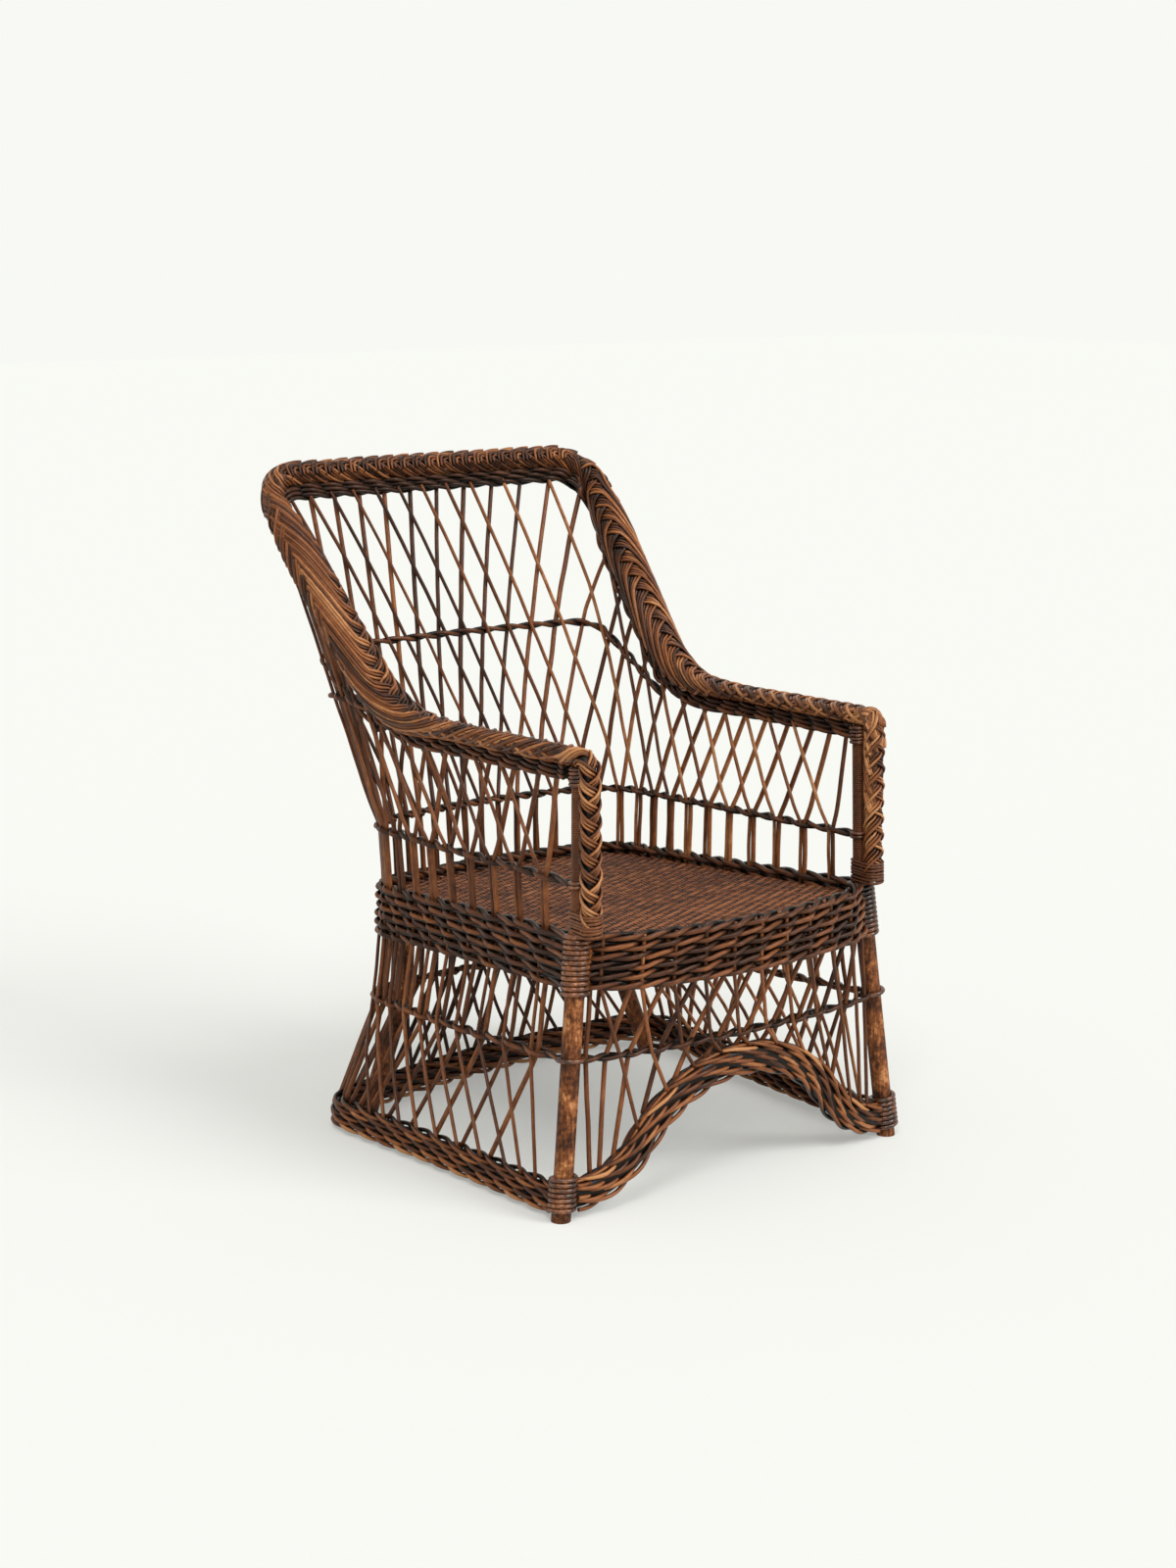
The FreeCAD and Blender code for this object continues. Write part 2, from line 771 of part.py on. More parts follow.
for side in (LEFT, RIGHT):
    front = border_level(foot_row.front(side, 0))
    middle = border_level(foot_row.middle(side, 0))
    end = border_level(foot_row.split(side, 0))
    start = front + (middle - front).normalize() * (COIL_RADIUS + FIT)
    add_shape(f"{SIDE_NAMES[side]}_foot_border", bar([start, middle, end], [LONG_BEND], *border_half))
back_border = [
    foot_row.split(LEFT, 0),
    foot_row.corner(LEFT, 0),
    foot_row.centre(0),
    foot_row.corner(RIGHT, 0),
    foot_row.split(RIGHT, 0),
]
back_border_radii = [foot_row.radius, LONG_BEND, foot_row.radius]
add_shape("back_foot_border", bar([border_level(p) for p in back_border], back_border_radii, *border_half))


def arch_height(x):
    """Height of the arch's middle line: an arc over the middle, and an arc the other way at each foot."""
    run = size("arch_run")
    rise = size("arch_apex") - size("arch_foot")
    total = run / math.sin(2 * math.atan(rise / run))
    crown = total * size("arch_apex_share")
    toe = total - crown
    if abs(x) < run * size("arch_apex_share"):
        return size("arch_apex") - crown + math.sqrt(crown**2 - x**2)
    left_over = max(run - abs(x), 0)
    return size("arch_foot") + toe - math.sqrt(toe**2 - left_over**2)


def arch_point(x):
    return Vector(x, bow_y(x, size("arch_run"), size("arch_end_y"), size("arch_bow"), 0), arch_height(x))


arch_end = leg_axis(RIGHT, size("arch_foot") + size("arch_width")).x - COIL_RADIUS - 5 * FIT
arch_sections = []
for x in steps(-arch_end, arch_end, 24):
    ahead = (arch_point(x + 1) - arch_point(x - 1)).normalize()
    across = Vector(0, -1, 0)
    upward = across.cross(ahead).normalize()
    section = rounded_section(arch_point(x), across, -upward, size("arch_depth") / 2, size("arch_width") / 2)
    arch_sections.append(section)
add_shape("front_arch_border", Part.makeLoft(arch_sections, True, False))

# Plaited rim, its binder rows, the back rail and the wing row

RIM_STEPS = 14
for name, first, last in (("left", 0, 1), ("back", 1, 2), ("right", 2, 3)):
    places = [rim.place(run) for run in steps(rim.run(first), rim.run(last), RIM_STEPS)]
    add_shape(f"{name}_rim_braid", Part.makeLoft([rim_section(u) for u in places], True, False))

BINDER_DROPS = [size("binder_gap") + ROW_RADIUS, size("binder_gap") + ROW_RADIUS + size("binder_pitch")]
STAGGER = {OUTER: 0, INNER: size("binder_stagger")}
arm_start = rim.place((BINDING_RADIUS + FIT + size("post_top_y") - size("arm_front_y")) / rim.length)
joint_gap = size("row_diameter") * 2.5 / rim.length
binder_runs = (
    ("left", rim.run(arm_start), rim.run(1) - joint_gap),
    ("back", rim.run(1) + joint_gap, rim.run(2) - joint_gap),
    ("right", rim.run(2) + joint_gap, 1 - rim.run(arm_start)),
)
for name, first, last in binder_runs:
    places = [rim.place(run) for run in steps(first, last, 2 * RIM_STEPS)]
    strands = [
        tube(
            [under_rim(u, drop + STAGGER[face], face * ROW_OFFSET) for u in places],
            size("row_diameter"),
            LONG_BEND,
        )
        for drop in BINDER_DROPS
        for face in (OUTER, INNER)
    ]
    add_group(f"{name}_rim_binder", strands)

BINDER_DEPTH = BINDER_DROPS[1] + size("binder_stagger") + size("row_diameter") + FIT


def back_rail_share(u):
    """Level of the back rail: level over the back, falling along each wing to the binder."""
    inner = min(u, 3 - u)
    level = size("back_rail_share")
    if inner >= 1:
        return level
    return min(level + (1 - inner), share_under_rim(inner, BINDER_DEPTH))


def wing_row_share(u):
    """Level of the row on the left wing, rising forward from the back corner to the binder."""
    return min(size("wing_row_share") + 1.6 * (1 - u), share_under_rim(u, BINDER_DEPTH + 2 * size("row_diameter")))


def wall_strands(places, share_at):
    return [
        tube([wall_point(u, share_at(u), face * ROW_OFFSET) for u in places], size("row_diameter"), LONG_BEND)
        for face in (OUTER, INNER)
    ]


add_group("back_rail", wall_strands(steps(0.82, 2.18, 40), back_rail_share))
add_group("left_wing_row", wall_strands(steps(0.76, 0.98, 12), wing_row_share))

# Plaits down the front of the arm posts

for side in (LEFT, RIGHT):
    half = side * size("arm_front_half")
    away = BINDING_RADIUS + FIT + size("plait_depth") / 2
    top = post_axis(side, size("arm_height"))
    low = post_axis(side, PLAIT_BOTTOM)
    points = [
        Vector(half, size("arm_front_y") - 3 * FIT, size("arm_height")),
        Vector(half, top.y - away, size("arm_height")),
        Vector(low.x, low.y - away, PLAIT_BOTTOM),
    ]
    half_sizes = (size("plait_width") / 2, size("plait_depth") / 2)
    add_shape(f"{SIDE_NAMES[side]}_arm_plait", bar(points, [size("plait_bend")], *half_sizes))

# Stakes of the sides and back, in pairs

side_step = size("left_pair_step")
back_step = 1 / size("back_pairs")


def leaning(u, lean, fine, share):
    """Place, at a share of the wall's height, of a stake that leaves the arm rail at u."""
    zone = min(int(u), 2)
    if zone == 1:
        rate = size("back_fine_lean") if fine else size("back_stout_lean") + size("back_stout_fan") * (u - 1)
        beyond = size("side_fine_lean") if fine else size("side_stout_lean")
    else:
        from_corner = 1 - u if zone == 0 else u - 2
        rate = size("side_fine_lean") + size("side_fine_fan") * from_corner if fine else size("side_stout_lean")
        beyond = size("back_fine_lean")
    ends = {(0, 1): 1, (0, -1): arm_start, (2, 1): 3 - arm_start}
    if (zone, lean) in ends:
        return u + lean * min(rate, 0.5 * abs(ends[zone, lean] - u)) * share
    corner = 1 if (zone, lean) == (1, -1) else 2
    meets = abs(corner - u) / rate
    if share <= meets:
        return u + lean * rate * share
    return corner + lean * beyond * (share - meets)


def leaned(place, shift, low, high):
    """A place moved by a shift, but by no more than half of the way to the end of its run."""
    room = (high - place) if shift > 0 else (place - low)
    return place + math.copysign(min(abs(shift), 0.5 * max(room, 0)), shift)


def end_lift(end, inner, face, radius):
    """How far a stake's end stays back so that its round end clears a face."""
    way = (end - inner).normalize()
    return 2 * FIT + radius * math.sqrt(max(1 - way.dot(face) ** 2, 0))


def stake(u, lean, diameter):
    """One stake of a pair: lean is 1 or -1, for the way it leans along the wall as it rises."""
    layer = lean * (STAKES_HALF - diameter / 2)
    side_length = arm_rail_row.at(1).distanceToPoint(arm_rail_row.at(0))
    beside = u + lean * PAIR_HALF / side_length
    zone = min(int(u), 2)
    margin = (COIL_RADIUS + size("stout_stake")) / side_length
    foot_low = margin if zone == 0 else zone
    foot_high = 3 - margin if zone == 2 else zone + 1
    step = back_step if zone == 1 else side_step
    foot_u = leaned(u, -lean * size("skirt_lean") * step, foot_low, foot_high)
    half_way = (beside + foot_u) / 2
    foot = foot_row.at(foot_u) + outward(foot_row, foot_u) * layer
    shin = (foot_row.at(half_way) + skirt_row.at(half_way)) / 2 + outward(skirt_row, half_way) * layer
    foot.z += end_lift(foot, shin, UP, diameter / 2)
    points = [foot, shin]
    for row in (skirt_row, low_band_row, seat_row, arm_rail_row):
        points.append(row.at(beside) + outward(row, beside) * layer)
    fine = diameter == size("fine_stake")

    def at(share):
        return wall_point(leaning(beside, lean, fine, share), share, layer)

    def share_at(drop):
        """Share of the height at which this stake comes to a drop below the plaited border."""
        share = 1
        for _ in range(40):
            share = (share + share_under_rim(leaning(beside, lean, fine, share), drop)) / 2
        return share

    end = share_at(FIT)
    for share in steps(0, end, 6)[1:-1]:
        points.append(at(share))
    upward = wall_frame(leaning(beside, lean, fine, end))[1]
    drop = 2 * FIT + end_lift(at(end), points[-1], upward, diameter / 2)
    points.append(at(share_at(drop)))
    return tube(points, diameter, size("stake_bend"))


def back_places():
    """Places of the back's pairs from its left corner, opening out toward the right."""
    first, step, opening = (size(f"back_{part}") for part in ("first_pair", "pair_step", "pair_opening"))
    return [1 + first + step * index + opening * index**2 for index in range(count("back_pairs"))]


def side_places(name):
    """Places of a side's pairs from the front, closing up toward the back."""
    first, step, closing = (size(f"{name}_{part}") for part in ("first_pair", "pair_step", "pair_closing"))
    return [first + step * index - closing * index**2 for index in range(count(f"{name}_pairs"))]


stake_groups = {
    "left_stakes": side_places("left"),
    "back_stakes": back_places(),
    "right_stakes": [3 - place for place in side_places("right")],
}
outer_leans = {"left_stakes": 1, "back_stakes": -1, "right_stakes": -1}
for name, places in stake_groups.items():
    fine = outer_leans[name]
    widths = {fine: size("fine_stake"), -fine: size("stout_stake")}
    add_group(name, [stake(u, lean, widths[lean]) for u in places for lean in (1, -1)])

# Stakes of the front skirt, from the band down to the arch


def front_stake(share, lean, diameter):
    layer = lean * (STAKES_HALF - diameter / 2)
    step = 2 / size("front_pairs")
    shift = lean * size("front_lean") * step
    rail_share = leaned(share, shift, -1 + 0.45 * step, 1 - 0.45 * step)
    foot_share = leaned(rail_share, shift, -1 + 0.45 * step, 1 - 0.45 * step)
    nudge = lean * PAIR_HALF / leg_axis(RIGHT, BAND_HEIGHT).x

    def at(place, height, bow):
        return front_point(place * leg_axis(RIGHT, height).x, height, bow, layer)

    top = at(share + nudge, SEAT_ROW_HEIGHT + ROW_RADIUS, BAND_BOW)
    low = at(share + nudge, BAND_HEIGHT, BAND_BOW)
    rail = at(rail_share, size("skirt_height"), SKIRT_BOW)
    drop = size("skirt_height") - size("arch_foot")
    slope = (foot_share - rail_share) * rail_half / drop
    end = Vector(rail)
    for _ in range(30):
        end.x = rail.x + slope * (rail.z - end.z) * drop / max(rail.z - arch_height(end.x), 1)
        tilt = (arch_height(end.x + 1) - arch_height(end.x - 1)) / 2
        across = size("arch_width") / 2 * math.sqrt(1 + tilt**2)
        end.z = arch_height(end.x) + across + diameter / 2 * (abs(tilt) + abs(slope)) + 6 * FIT
    end.y = arch_point(end.x).y - layer
    return tube([top, low, rail, end], diameter, size("stake_bend"))


front_places = [-1 + (2 * index + 1) / size("front_pairs") for index in range(count("front_pairs"))]
front_widths = {1: size("fine_stake"), -1: size("stout_stake")}
front_stakes = [front_stake(place, lean, front_widths[lean]) for place in front_places for lean in (1, -1)]
add_group("front_stakes", front_stakes)

# Seat panel

panel_offset = -(WALL_HALF + FIT)


def panel_front(x):
    return panel_level(x, bow_y(x, seat_row.front(RIGHT, 0).x, *BAND_BOW, panel_offset - 4 * FIT))


def panel_level(x, y):
    return Vector(x, y, SEAT_HEIGHT - size("seat_slope") * y)


panel_points = [panel_level(point.x, point.y) for point in seat_row.points(panel_offset)]
panel_points[0] = panel_front(panel_points[0].x)
panel_points[-1] = panel_front(panel_points[-1].x)
panel_round = seat_row.radius + panel_offset
panel_edge = rounded_wire(panel_points, [LONG_BEND, panel_round, LONG_BEND, panel_round, LONG_BEND])
panel_nose = Part.Arc(panel_points[-1], panel_front(0), panel_points[0]).toShape()
panel_face = doc.addObject("Part::Feature", "seat_panel_face")
panel_face.Shape = Part.Face(Part.Wire(panel_edge.Edges + [panel_nose]))
panel_blank = doc.addObject("Part::Extrusion", "seat_panel_blank")
panel_blank.Base = panel_face
panel_blank.DirMode = "Custom"
panel_blank.Dir = Vector(0, -size("seat_slope"), -1).normalize()
panel_blank.setExpression("LengthFwd", "Sizes.seat_thickness")
panel_blank.Solid = True
corner_gauges = [
    pole(
        f"{SIDE_NAMES[side]}_panel_notch",
        leg_axis(side, BAND_HEIGHT),
        leg_axis(side, size("leg_top_height") + size("leg_diameter")),
        "Sizes.leg_diameter + 2 * Sizes.coil_wire + 6 * Sizes.fit",
    )
    for side in (LEFT, RIGHT)
]
cut("seat_panel", panel_blank, corner_gauges)

# Bindings


def biarc(start, start_way, end, end_way):
    """Two tangent arcs between two points with given directions."""
    chord = end - start
    ways = start_way + end_way
    spread = 2 * (1 - start_way.dot(end_way))
    reach = (-chord.dot(ways) + math.sqrt(chord.dot(ways) ** 2 + spread * chord.dot(chord))) / spread
    first = start + start_way * reach
    second = end - end_way * reach
    joint = (first + second) / 2
    edges = []
    for near, apex, far in ((start, first, joint), (joint, second, end)):
        foot = (near + far) / 2
        half = (far - near).Length / 2
        bulge = half * math.tan(math.acos(min(half / reach, 1)) / 2)
        edges.append(Part.Arc(near, foot + (apex - foot).normalize() * bulge, far).toShape())
    return edges


def winding(base, axis, half_x, half_y, wire, turns):
    """A coil of round wire that climbs along an axis, as one unbroken tube, and its least gap to itself."""
    pitch = wire + size("wire_gap")

    def at(turn):
        angle = 2 * math.pi * turn
        return Vector(half_x * math.cos(angle), half_y * math.sin(angle), pitch * turn)

    def way(turn):
        angle = 2 * math.pi * turn
        flat = Vector(-half_x * math.sin(angle), half_y * math.cos(angle), pitch / (2 * math.pi))
        return flat.normalize()

    quarters = [index / 4 for index in range(4 * turns + 1)]
    edges = []
    for first, last in zip(quarters, quarters[1:]):
        edges.extend(biarc(at(first), way(first), at(last), way(last)))
    solid = sweep_round(Part.Wire(edges), wire)
    solid.Placement = Placement(base, Rotation(UP, axis))
    places = [index / 24 for index in range(24 * turns + 1)]
    gaps = [
        (at(first) - at(last)).Length - wire for first in places for last in places if last - first > 0.6
    ]
    return solid, min(gaps, default=pitch - wire)


def leg_coil(side, start, turns):
    base = leg_axis(side, start)
    axis = leg_axis(side, start + 1) - base
    radius = LEG_RADIUS + FIT + size("coil_wire") / 2
    return winding(base, axis, radius, radius, size("coil_wire"), turns)


def post_coil(side, start, turns):
    base = post_axis(side, start)
    axis = post_axis(side, start + 1) - base
    radius = SLEEVE_RADIUS + FIT + size("binding_wire") / 2
    return winding(base, axis, radius, radius, size("binding_wire"), turns)


def plait_coil(side):
    """A square binding round an arm post together with the lower end of its plait."""
    wire = size("binding_wire")
    pitch = wire + size("wire_gap")
    low = post_axis(side, PLAIT_BOTTOM)
    back = low.y + SLEEVE_RADIUS + 2 * FIT + wire / 2
    front = low.y - BINDING_RADIUS - 3 * FIT - size("plait_depth") - wire / 2
    half = size("plait_width") / 2 + 2 * FIT + wire / 2
    corners = ((half, back), (half, front), (-half, front), (-half, back))
    points = []
    for index in range(4 * count("plait_binding_turns") + 1):
        x, y = corners[index % 4]
        points.append(Vector(low.x + x, y, PLAIT_BOTTOM + wire + pitch * index / 4))
    return tube(points, wire, 0.35 * size("plait_depth")), pitch - wire


coil_pitch = size("coil_wire") + size("wire_gap")
binding_pitch = size("binding_wire") + size("wire_gap")
seat_coil_start = size("leg_top_height") - (count("seat_coil_turns") + 0.5) * coil_pitch
arm_binding_start = POST_TOP - (count("arm_binding_turns") + 0.5) * binding_pitch
rail_binding_start = ARM_RAIL_HEIGHT - count("rail_binding_turns") * binding_pitch / 2
ring_start = size("skirt_height") - coil_pitch / 2
bindings = {
    "seat_coils": lambda side: leg_coil(side, seat_coil_start, count("seat_coil_turns")),
    "foot_coils": lambda side: leg_coil(side, size("foot_coil_start"), count("foot_coil_turns")),
    "skirt_rings": lambda side: leg_coil(side, ring_start, 1),
    "arm_bindings": lambda side: post_coil(side, arm_binding_start, count("arm_binding_turns")),
    "rail_bindings": lambda side: post_coil(side, rail_binding_start, count("rail_binding_turns")),
    "plait_bindings": plait_coil,
}
for name, make in bindings.items():
    wound = [make(side) for side in (LEFT, RIGHT)]
    add_group(name, [solid for solid, gap in wound])
    print(f"{name}: least gap between turns {min(gap for solid, gap in wound):.2f} mm")

# Origin at the middle of the outline on the floor, then the files

doc.recompute()
failed = [item.Label for item in doc.Objects if {"Invalid", "Error"} & set(item.State)]
for label, node in nodes.items():
    if node.Shape.isNull() or not node.Shape.isValid() or not node.Shape.Solids:
        failed.append(label)
if failed:
    raise SystemExit("failed: " + ", ".join(failed))

boxes = [node.Shape.optimalBoundingBox(False) for node in nodes.values()]
middle_x = (min(box.XMin for box in boxes) + max(box.XMax for box in boxes)) / 2
middle_y = (min(box.YMin for box in boxes) + max(box.YMax for box in boxes)) / 2
to_origin = Placement(Vector(-middle_x, -middle_y, 0), Rotation())

os.makedirs("parts", exist_ok=True)
for label, node in nodes.items():
    node.Placement = to_origin.multiply(node.Placement)
    node.Shape.exportStep(f"parts/{label}.step")
print(f"{len(nodes)} nodes, {sum(len(node.Shape.Solids) for node in nodes.values())} solids")
print(f"depth origin at {middle_y:.2f} mm behind the front feet, side origin at {middle_x:.2f} mm")
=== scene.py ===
import math

import bpy
import numpy as np
from mathutils import Matrix, Vector


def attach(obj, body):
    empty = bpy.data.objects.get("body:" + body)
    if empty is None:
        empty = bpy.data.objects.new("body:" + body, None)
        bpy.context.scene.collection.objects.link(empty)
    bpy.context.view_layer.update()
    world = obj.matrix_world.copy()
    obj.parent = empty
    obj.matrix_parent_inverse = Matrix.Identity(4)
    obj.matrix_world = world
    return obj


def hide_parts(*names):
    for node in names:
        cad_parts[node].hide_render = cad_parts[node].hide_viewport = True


# A woven willow armchair. Lengths are in millimetres in the chair's own axes until they reach a mesh:
# +X right seen from the front, +Y to the back, +Z up, with y = 0 at the front feet.

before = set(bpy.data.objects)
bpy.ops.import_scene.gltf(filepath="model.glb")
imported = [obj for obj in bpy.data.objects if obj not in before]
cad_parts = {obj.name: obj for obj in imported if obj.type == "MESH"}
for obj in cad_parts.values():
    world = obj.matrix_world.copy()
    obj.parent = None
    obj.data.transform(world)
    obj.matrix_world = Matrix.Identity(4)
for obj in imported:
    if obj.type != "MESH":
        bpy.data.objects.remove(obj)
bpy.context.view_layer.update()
rng = np.random.default_rng(7)

ORIGIN = np.array([-0.16, 349.13, 0.0])
UP = np.array([0.0, 0.0, 1.0])
SAMPLES = 1201
LONG_BEND = 5000.0

LEG_TOP = np.array([254.0, 20.0, 392.0])
FRONT_FOOT = np.array([299.0, 0.0, 0.0])
POST_TOP = np.array([250.0, 24.0, 615.7])
LEG_RADIUS = 13.5
COIL_RADIUS = 20.2
BINDING_RADIUS = 14.3
STAKES_HALF = 7.35
WALL_HALF = 14.75
STOUT, FINE = 7.0, 5.5
SEAT_SLOPE = 0.066
SEAT_HEIGHT = 376.0
BORDER_TOP, SKIRT_HEIGHT, BAND_LOW, BAND_HIGH = 45.0, 218.0, 318.0, 384.0
BAND_ROWS = 6
ARM_RAIL_HEIGHT, ARM_HEIGHT, ARM_END_HALF = 455.0, 628.0, 254.0
BACK_PAIRS, FRONT_PAIRS = 14, 11
SIDE_STEP, BACK_STEP = 0.125, 1 / BACK_PAIRS
BAND_BOW = (-2.0, 49.0)
SKIRT_BOW = (2.0, 24.0)
LEFT, RIGHT = -1, 1
ALIKE_ALL_ROUND = np.zeros(3)


def metres(points):
    return (np.asarray(points, float) - ORIGIN) / 1000


def unit(vectors):
    vectors = np.asarray(vectors, float)
    return vectors / np.maximum(np.linalg.norm(vectors, axis=-1, keepdims=True), 1e-9)


def steps(first, last, number):
    return np.linspace(first, last, number + 1)


def smooth(value):
    value = np.clip(value, 0, 1)
    return value * value * (3 - 2 * value)


# Lines


def lengths(points):
    runs = np.linalg.norm(np.diff(points, axis=0), axis=1)
    return np.concatenate([[0], np.cumsum(runs)])


def at_lengths(points, places):
    run = lengths(points)
    return np.stack([np.interp(places, run, points[:, axis]) for axis in range(3)], axis=1)


def even(points, number):
    points = np.asarray(points, float)
    return at_lengths(points, np.linspace(0, lengths(points)[-1], number))


def spaced(points, gap):
    points = np.asarray(points, float)
    return even(points, max(int(lengths(points)[-1] / gap), 3))


def rounded(points, radii):
    """Straight runs with tangent arcs at the inner points."""
    points = [np.array(point, float) for point in points]
    line = [points[0]]
    last = len(points) - 2
    for index in range(1, len(points) - 1):
        corner = points[index]
        back = points[index - 1] - corner
        ahead = points[index + 1] - corner
        back_length, ahead_length = np.linalg.norm(back), np.linalg.norm(ahead)
        back, ahead = back / back_length, ahead / ahead_length
        half = math.acos(np.clip(back @ ahead, -1, 1)) / 2
        if half > math.radians(89.9):
            continue
        back_room = back_length * (0.98 if index == 1 else 0.49)
        ahead_room = ahead_length * (0.98 if index == last else 0.49)
        reach = min(radii[index - 1] / math.tan(half), back_room, ahead_room)
        bend = reach * math.tan(half)
        centre = corner + unit(back + ahead) * bend / math.sin(half)
        start = corner + back * reach - centre
        for angle in np.linspace(0, math.pi - 2 * half, 13):
            line.append(centre + start * math.cos(angle) - back * bend * math.sin(angle))
    line.append(points[-1])
    return np.array(line)


# Poles, woven rows and rim, on the lines that the solids follow


def leg_axis(side, height):
    point = FRONT_FOOT + (LEG_TOP - FRONT_FOOT) * height / LEG_TOP[2]
    return point * [side, 1, 1]


def post_axis(side, height):
    point = LEG_TOP + (POST_TOP - LEG_TOP) * (height - LEG_TOP[2]) / (POST_TOP[2] - LEG_TOP[2])
    return point * [side, 1, 1]


class Row:
    """A woven row's line from the left front pole round the back to the right front pole."""

    def __init__(self, height, slope, axis, corner_half, corner_y, centre_y, radius, bulge, rack=0.0):
        self.height, self.slope = height, slope
        points = []
        corners = []
        for side in (LEFT, RIGHT):
            front = axis(side, height)[:2]
            corner = np.array([side * corner_half, corner_y + side * rack])
            middle = (front + corner) / 2 + [side * bulge, 0]
            run = [front, middle, corner]
            corners.append(self.lower(corner))
            points += run if side == LEFT else run[::-1]
        points.insert(3, np.array([0, centre_y]))
        radii = [LONG_BEND, radius, LONG_BEND, radius, LONG_BEND]
        self.samples = even(rounded([self.lower(point) for point in points], radii), SAMPLES)
        nearest = [int(np.argmin(np.linalg.norm(self.samples - corner, axis=1))) for corner in corners]
        self.stops = [0, nearest[0], nearest[1], SAMPLES - 1]

    def lower(self, point):
        return np.array([point[0], point[1], self.height - self.slope * point[1]])

    def at(self, u):
        place = np.interp(u, [0, 1, 2, 3], self.stops)
        grid = np.arange(SAMPLES)
        return np.stack([np.interp(place, grid, self.samples[:, axis]) for axis in range(3)], axis=-1)

    def out(self, u):
        u = np.clip(u, 0.012, 2.988)
        return unit(np.cross(UP, self.at(u + 0.01) - self.at(u - 0.01)))


# A row's corner, half width and y, its y at the middle of the back, its corner's bend and its sides' bulge
LOW_BAND = (236, 566, 602, 80, -6)
HIGH_BAND = (232, 566, 604, 80, -4)
foot_row = Row(BORDER_TOP, 0.0, leg_axis, 330, 566, 604, 60, -5, 28)
skirt_row = Row(SKIRT_HEIGHT, SEAT_SLOPE, leg_axis, 242, 568, 604, 75, 12)
low_band_row = Row(BAND_LOW, SEAT_SLOPE, leg_axis, *LOW_BAND)
seat_row = Row(BAND_HIGH, SEAT_SLOPE, leg_axis, *HIGH_BAND)
arm_rail_row = Row(ARM_RAIL_HEIGHT, 0.028, post_axis, 236, 570, 610, 85, 0)
CREST = np.array([302.0, 738.0, 944.0])


class Rim:
    """The plaited rim's line, from one arm's end over the back to the other, and its section."""

    def __init__(self):
        half = [np.array([ARM_END_HALF, 14.0, ARM_HEIGHT]), np.array([264.0, 447.0, 619.0]), CREST]
        left = [point * [-1, 1, 1] for point in half]
        points = left + [np.array([0, CREST[1] + 12, CREST[2]])] + half[::-1]
        line = rounded(points, [170, 60, LONG_BEND, 60, 170])
        self.samples = even(line, SAMPLES)
        self.length = lengths(line)[-1]
        corner = int(np.argmin(np.linalg.norm(self.samples - points[2], axis=1)))
        self.wing = corner / (SAMPLES - 1)
        side = np.linalg.norm(arm_rail_row.at(1) - arm_rail_row.at(0))
        share = side / (self.wing * self.length)
        fan = np.linspace(0, 1, 401)
        left_run = self.wing * (share * fan + (1 - share) * fan**9)
        self.places = np.concatenate([fan, 2 + fan])
        self.runs = np.concatenate([left_run, 1 - left_run[::-1]])

    def run(self, u):
        return np.interp(u, self.places, self.runs)

    def place(self, run):
        return np.interp(run, self.runs, self.places)

    def at(self, u):
        place = self.run(u) * (SAMPLES - 1)
        grid = np.arange(SAMPLES)
        return np.stack([np.interp(place, grid, self.samples[:, axis]) for axis in range(3)], axis=-1)

    def wing_share(self, u):
        """How far u lies from an arm's end, where the crest's corner is 1."""
        run = self.run(u)
        return np.minimum(run, 1 - run) / self.wing

    def roll(self, u):
        """How far the section has turned from lying, on the arms, to standing, on the crest."""
        return smooth((self.wing_share(u) - 0.45) / 0.45)

    def spread(self, u):
        """Full on the wings, none on the arms and the crest."""
        share = self.wing_share(u)
        return smooth((share - 0.32) / 0.25) * (1 - smooth((share - 0.82) / 0.2))

    def ridge(self, u):
        """Where the plait's ridge lies: on top of the arms, and on the front of the crest."""
        return -np.radians(70 * self.roll(u) + 24 * smooth((self.wing_share(u) - 0.85) / 0.15))

    def half_height(self, u):
        return 10.5 + 5.5 * self.roll(u) + 11 * self.spread(u)

    def half_width(self, u):
        return 19 - 5 * self.roll(u) + 12 * self.spread(u)


rim = Rim()


def ahead_of(line_at, u, step):
    u = np.clip(u, step, 3 - step)
    return line_at(u + step) - line_at(u - step)


def rim_frame(u):
    """Along the rim, up the wall and outward, at u."""
    along = unit(ahead_of(rim.at, u, 0.004))
    out = unit(np.cross(rim.at(u) - arm_rail_row.at(u), along))
    return along, unit(np.cross(along, out)), out


def wall_at(u, share):
    share = np.asarray(share, float)[..., None]
    return arm_rail_row.at(u) * (1 - share) + rim.at(u) * share


def wall_out(u, share):
    across = ahead_of(lambda place: wall_at(place, share), u, 0.01)
    return unit(np.cross(rim.at(u) - arm_rail_row.at(u), across))


def share_under_rim(u, drop):
    upright = rim.at(u) - arm_rail_row.at(u)
    across = np.linalg.norm(np.cross(upright, rim_frame(u)[0]), axis=-1)
    return 1 - (rim.half_height(u) + drop) / across


def bow_y(x, half, bow, offset=0.0):
    end_y, depth = bow
    radius = (half**2 + depth**2) / (2 * depth)
    return end_y - depth + radius - np.sqrt((radius + offset) ** 2 - x**2)


def front_point(x, height, bow, offset=0.0):
    x = np.asarray(x, float)
    return np.stack([x, bow_y(x, leg_axis(RIGHT, height)[0], bow, offset), np.full_like(x, height)], axis=-1)


def front_out(x, height, bow):
    step = 1.0
    along = front_point(x + step, height, bow) - front_point(x - step, height, bow)
    return unit(np.cross(along, UP))


# Meshes of round rods


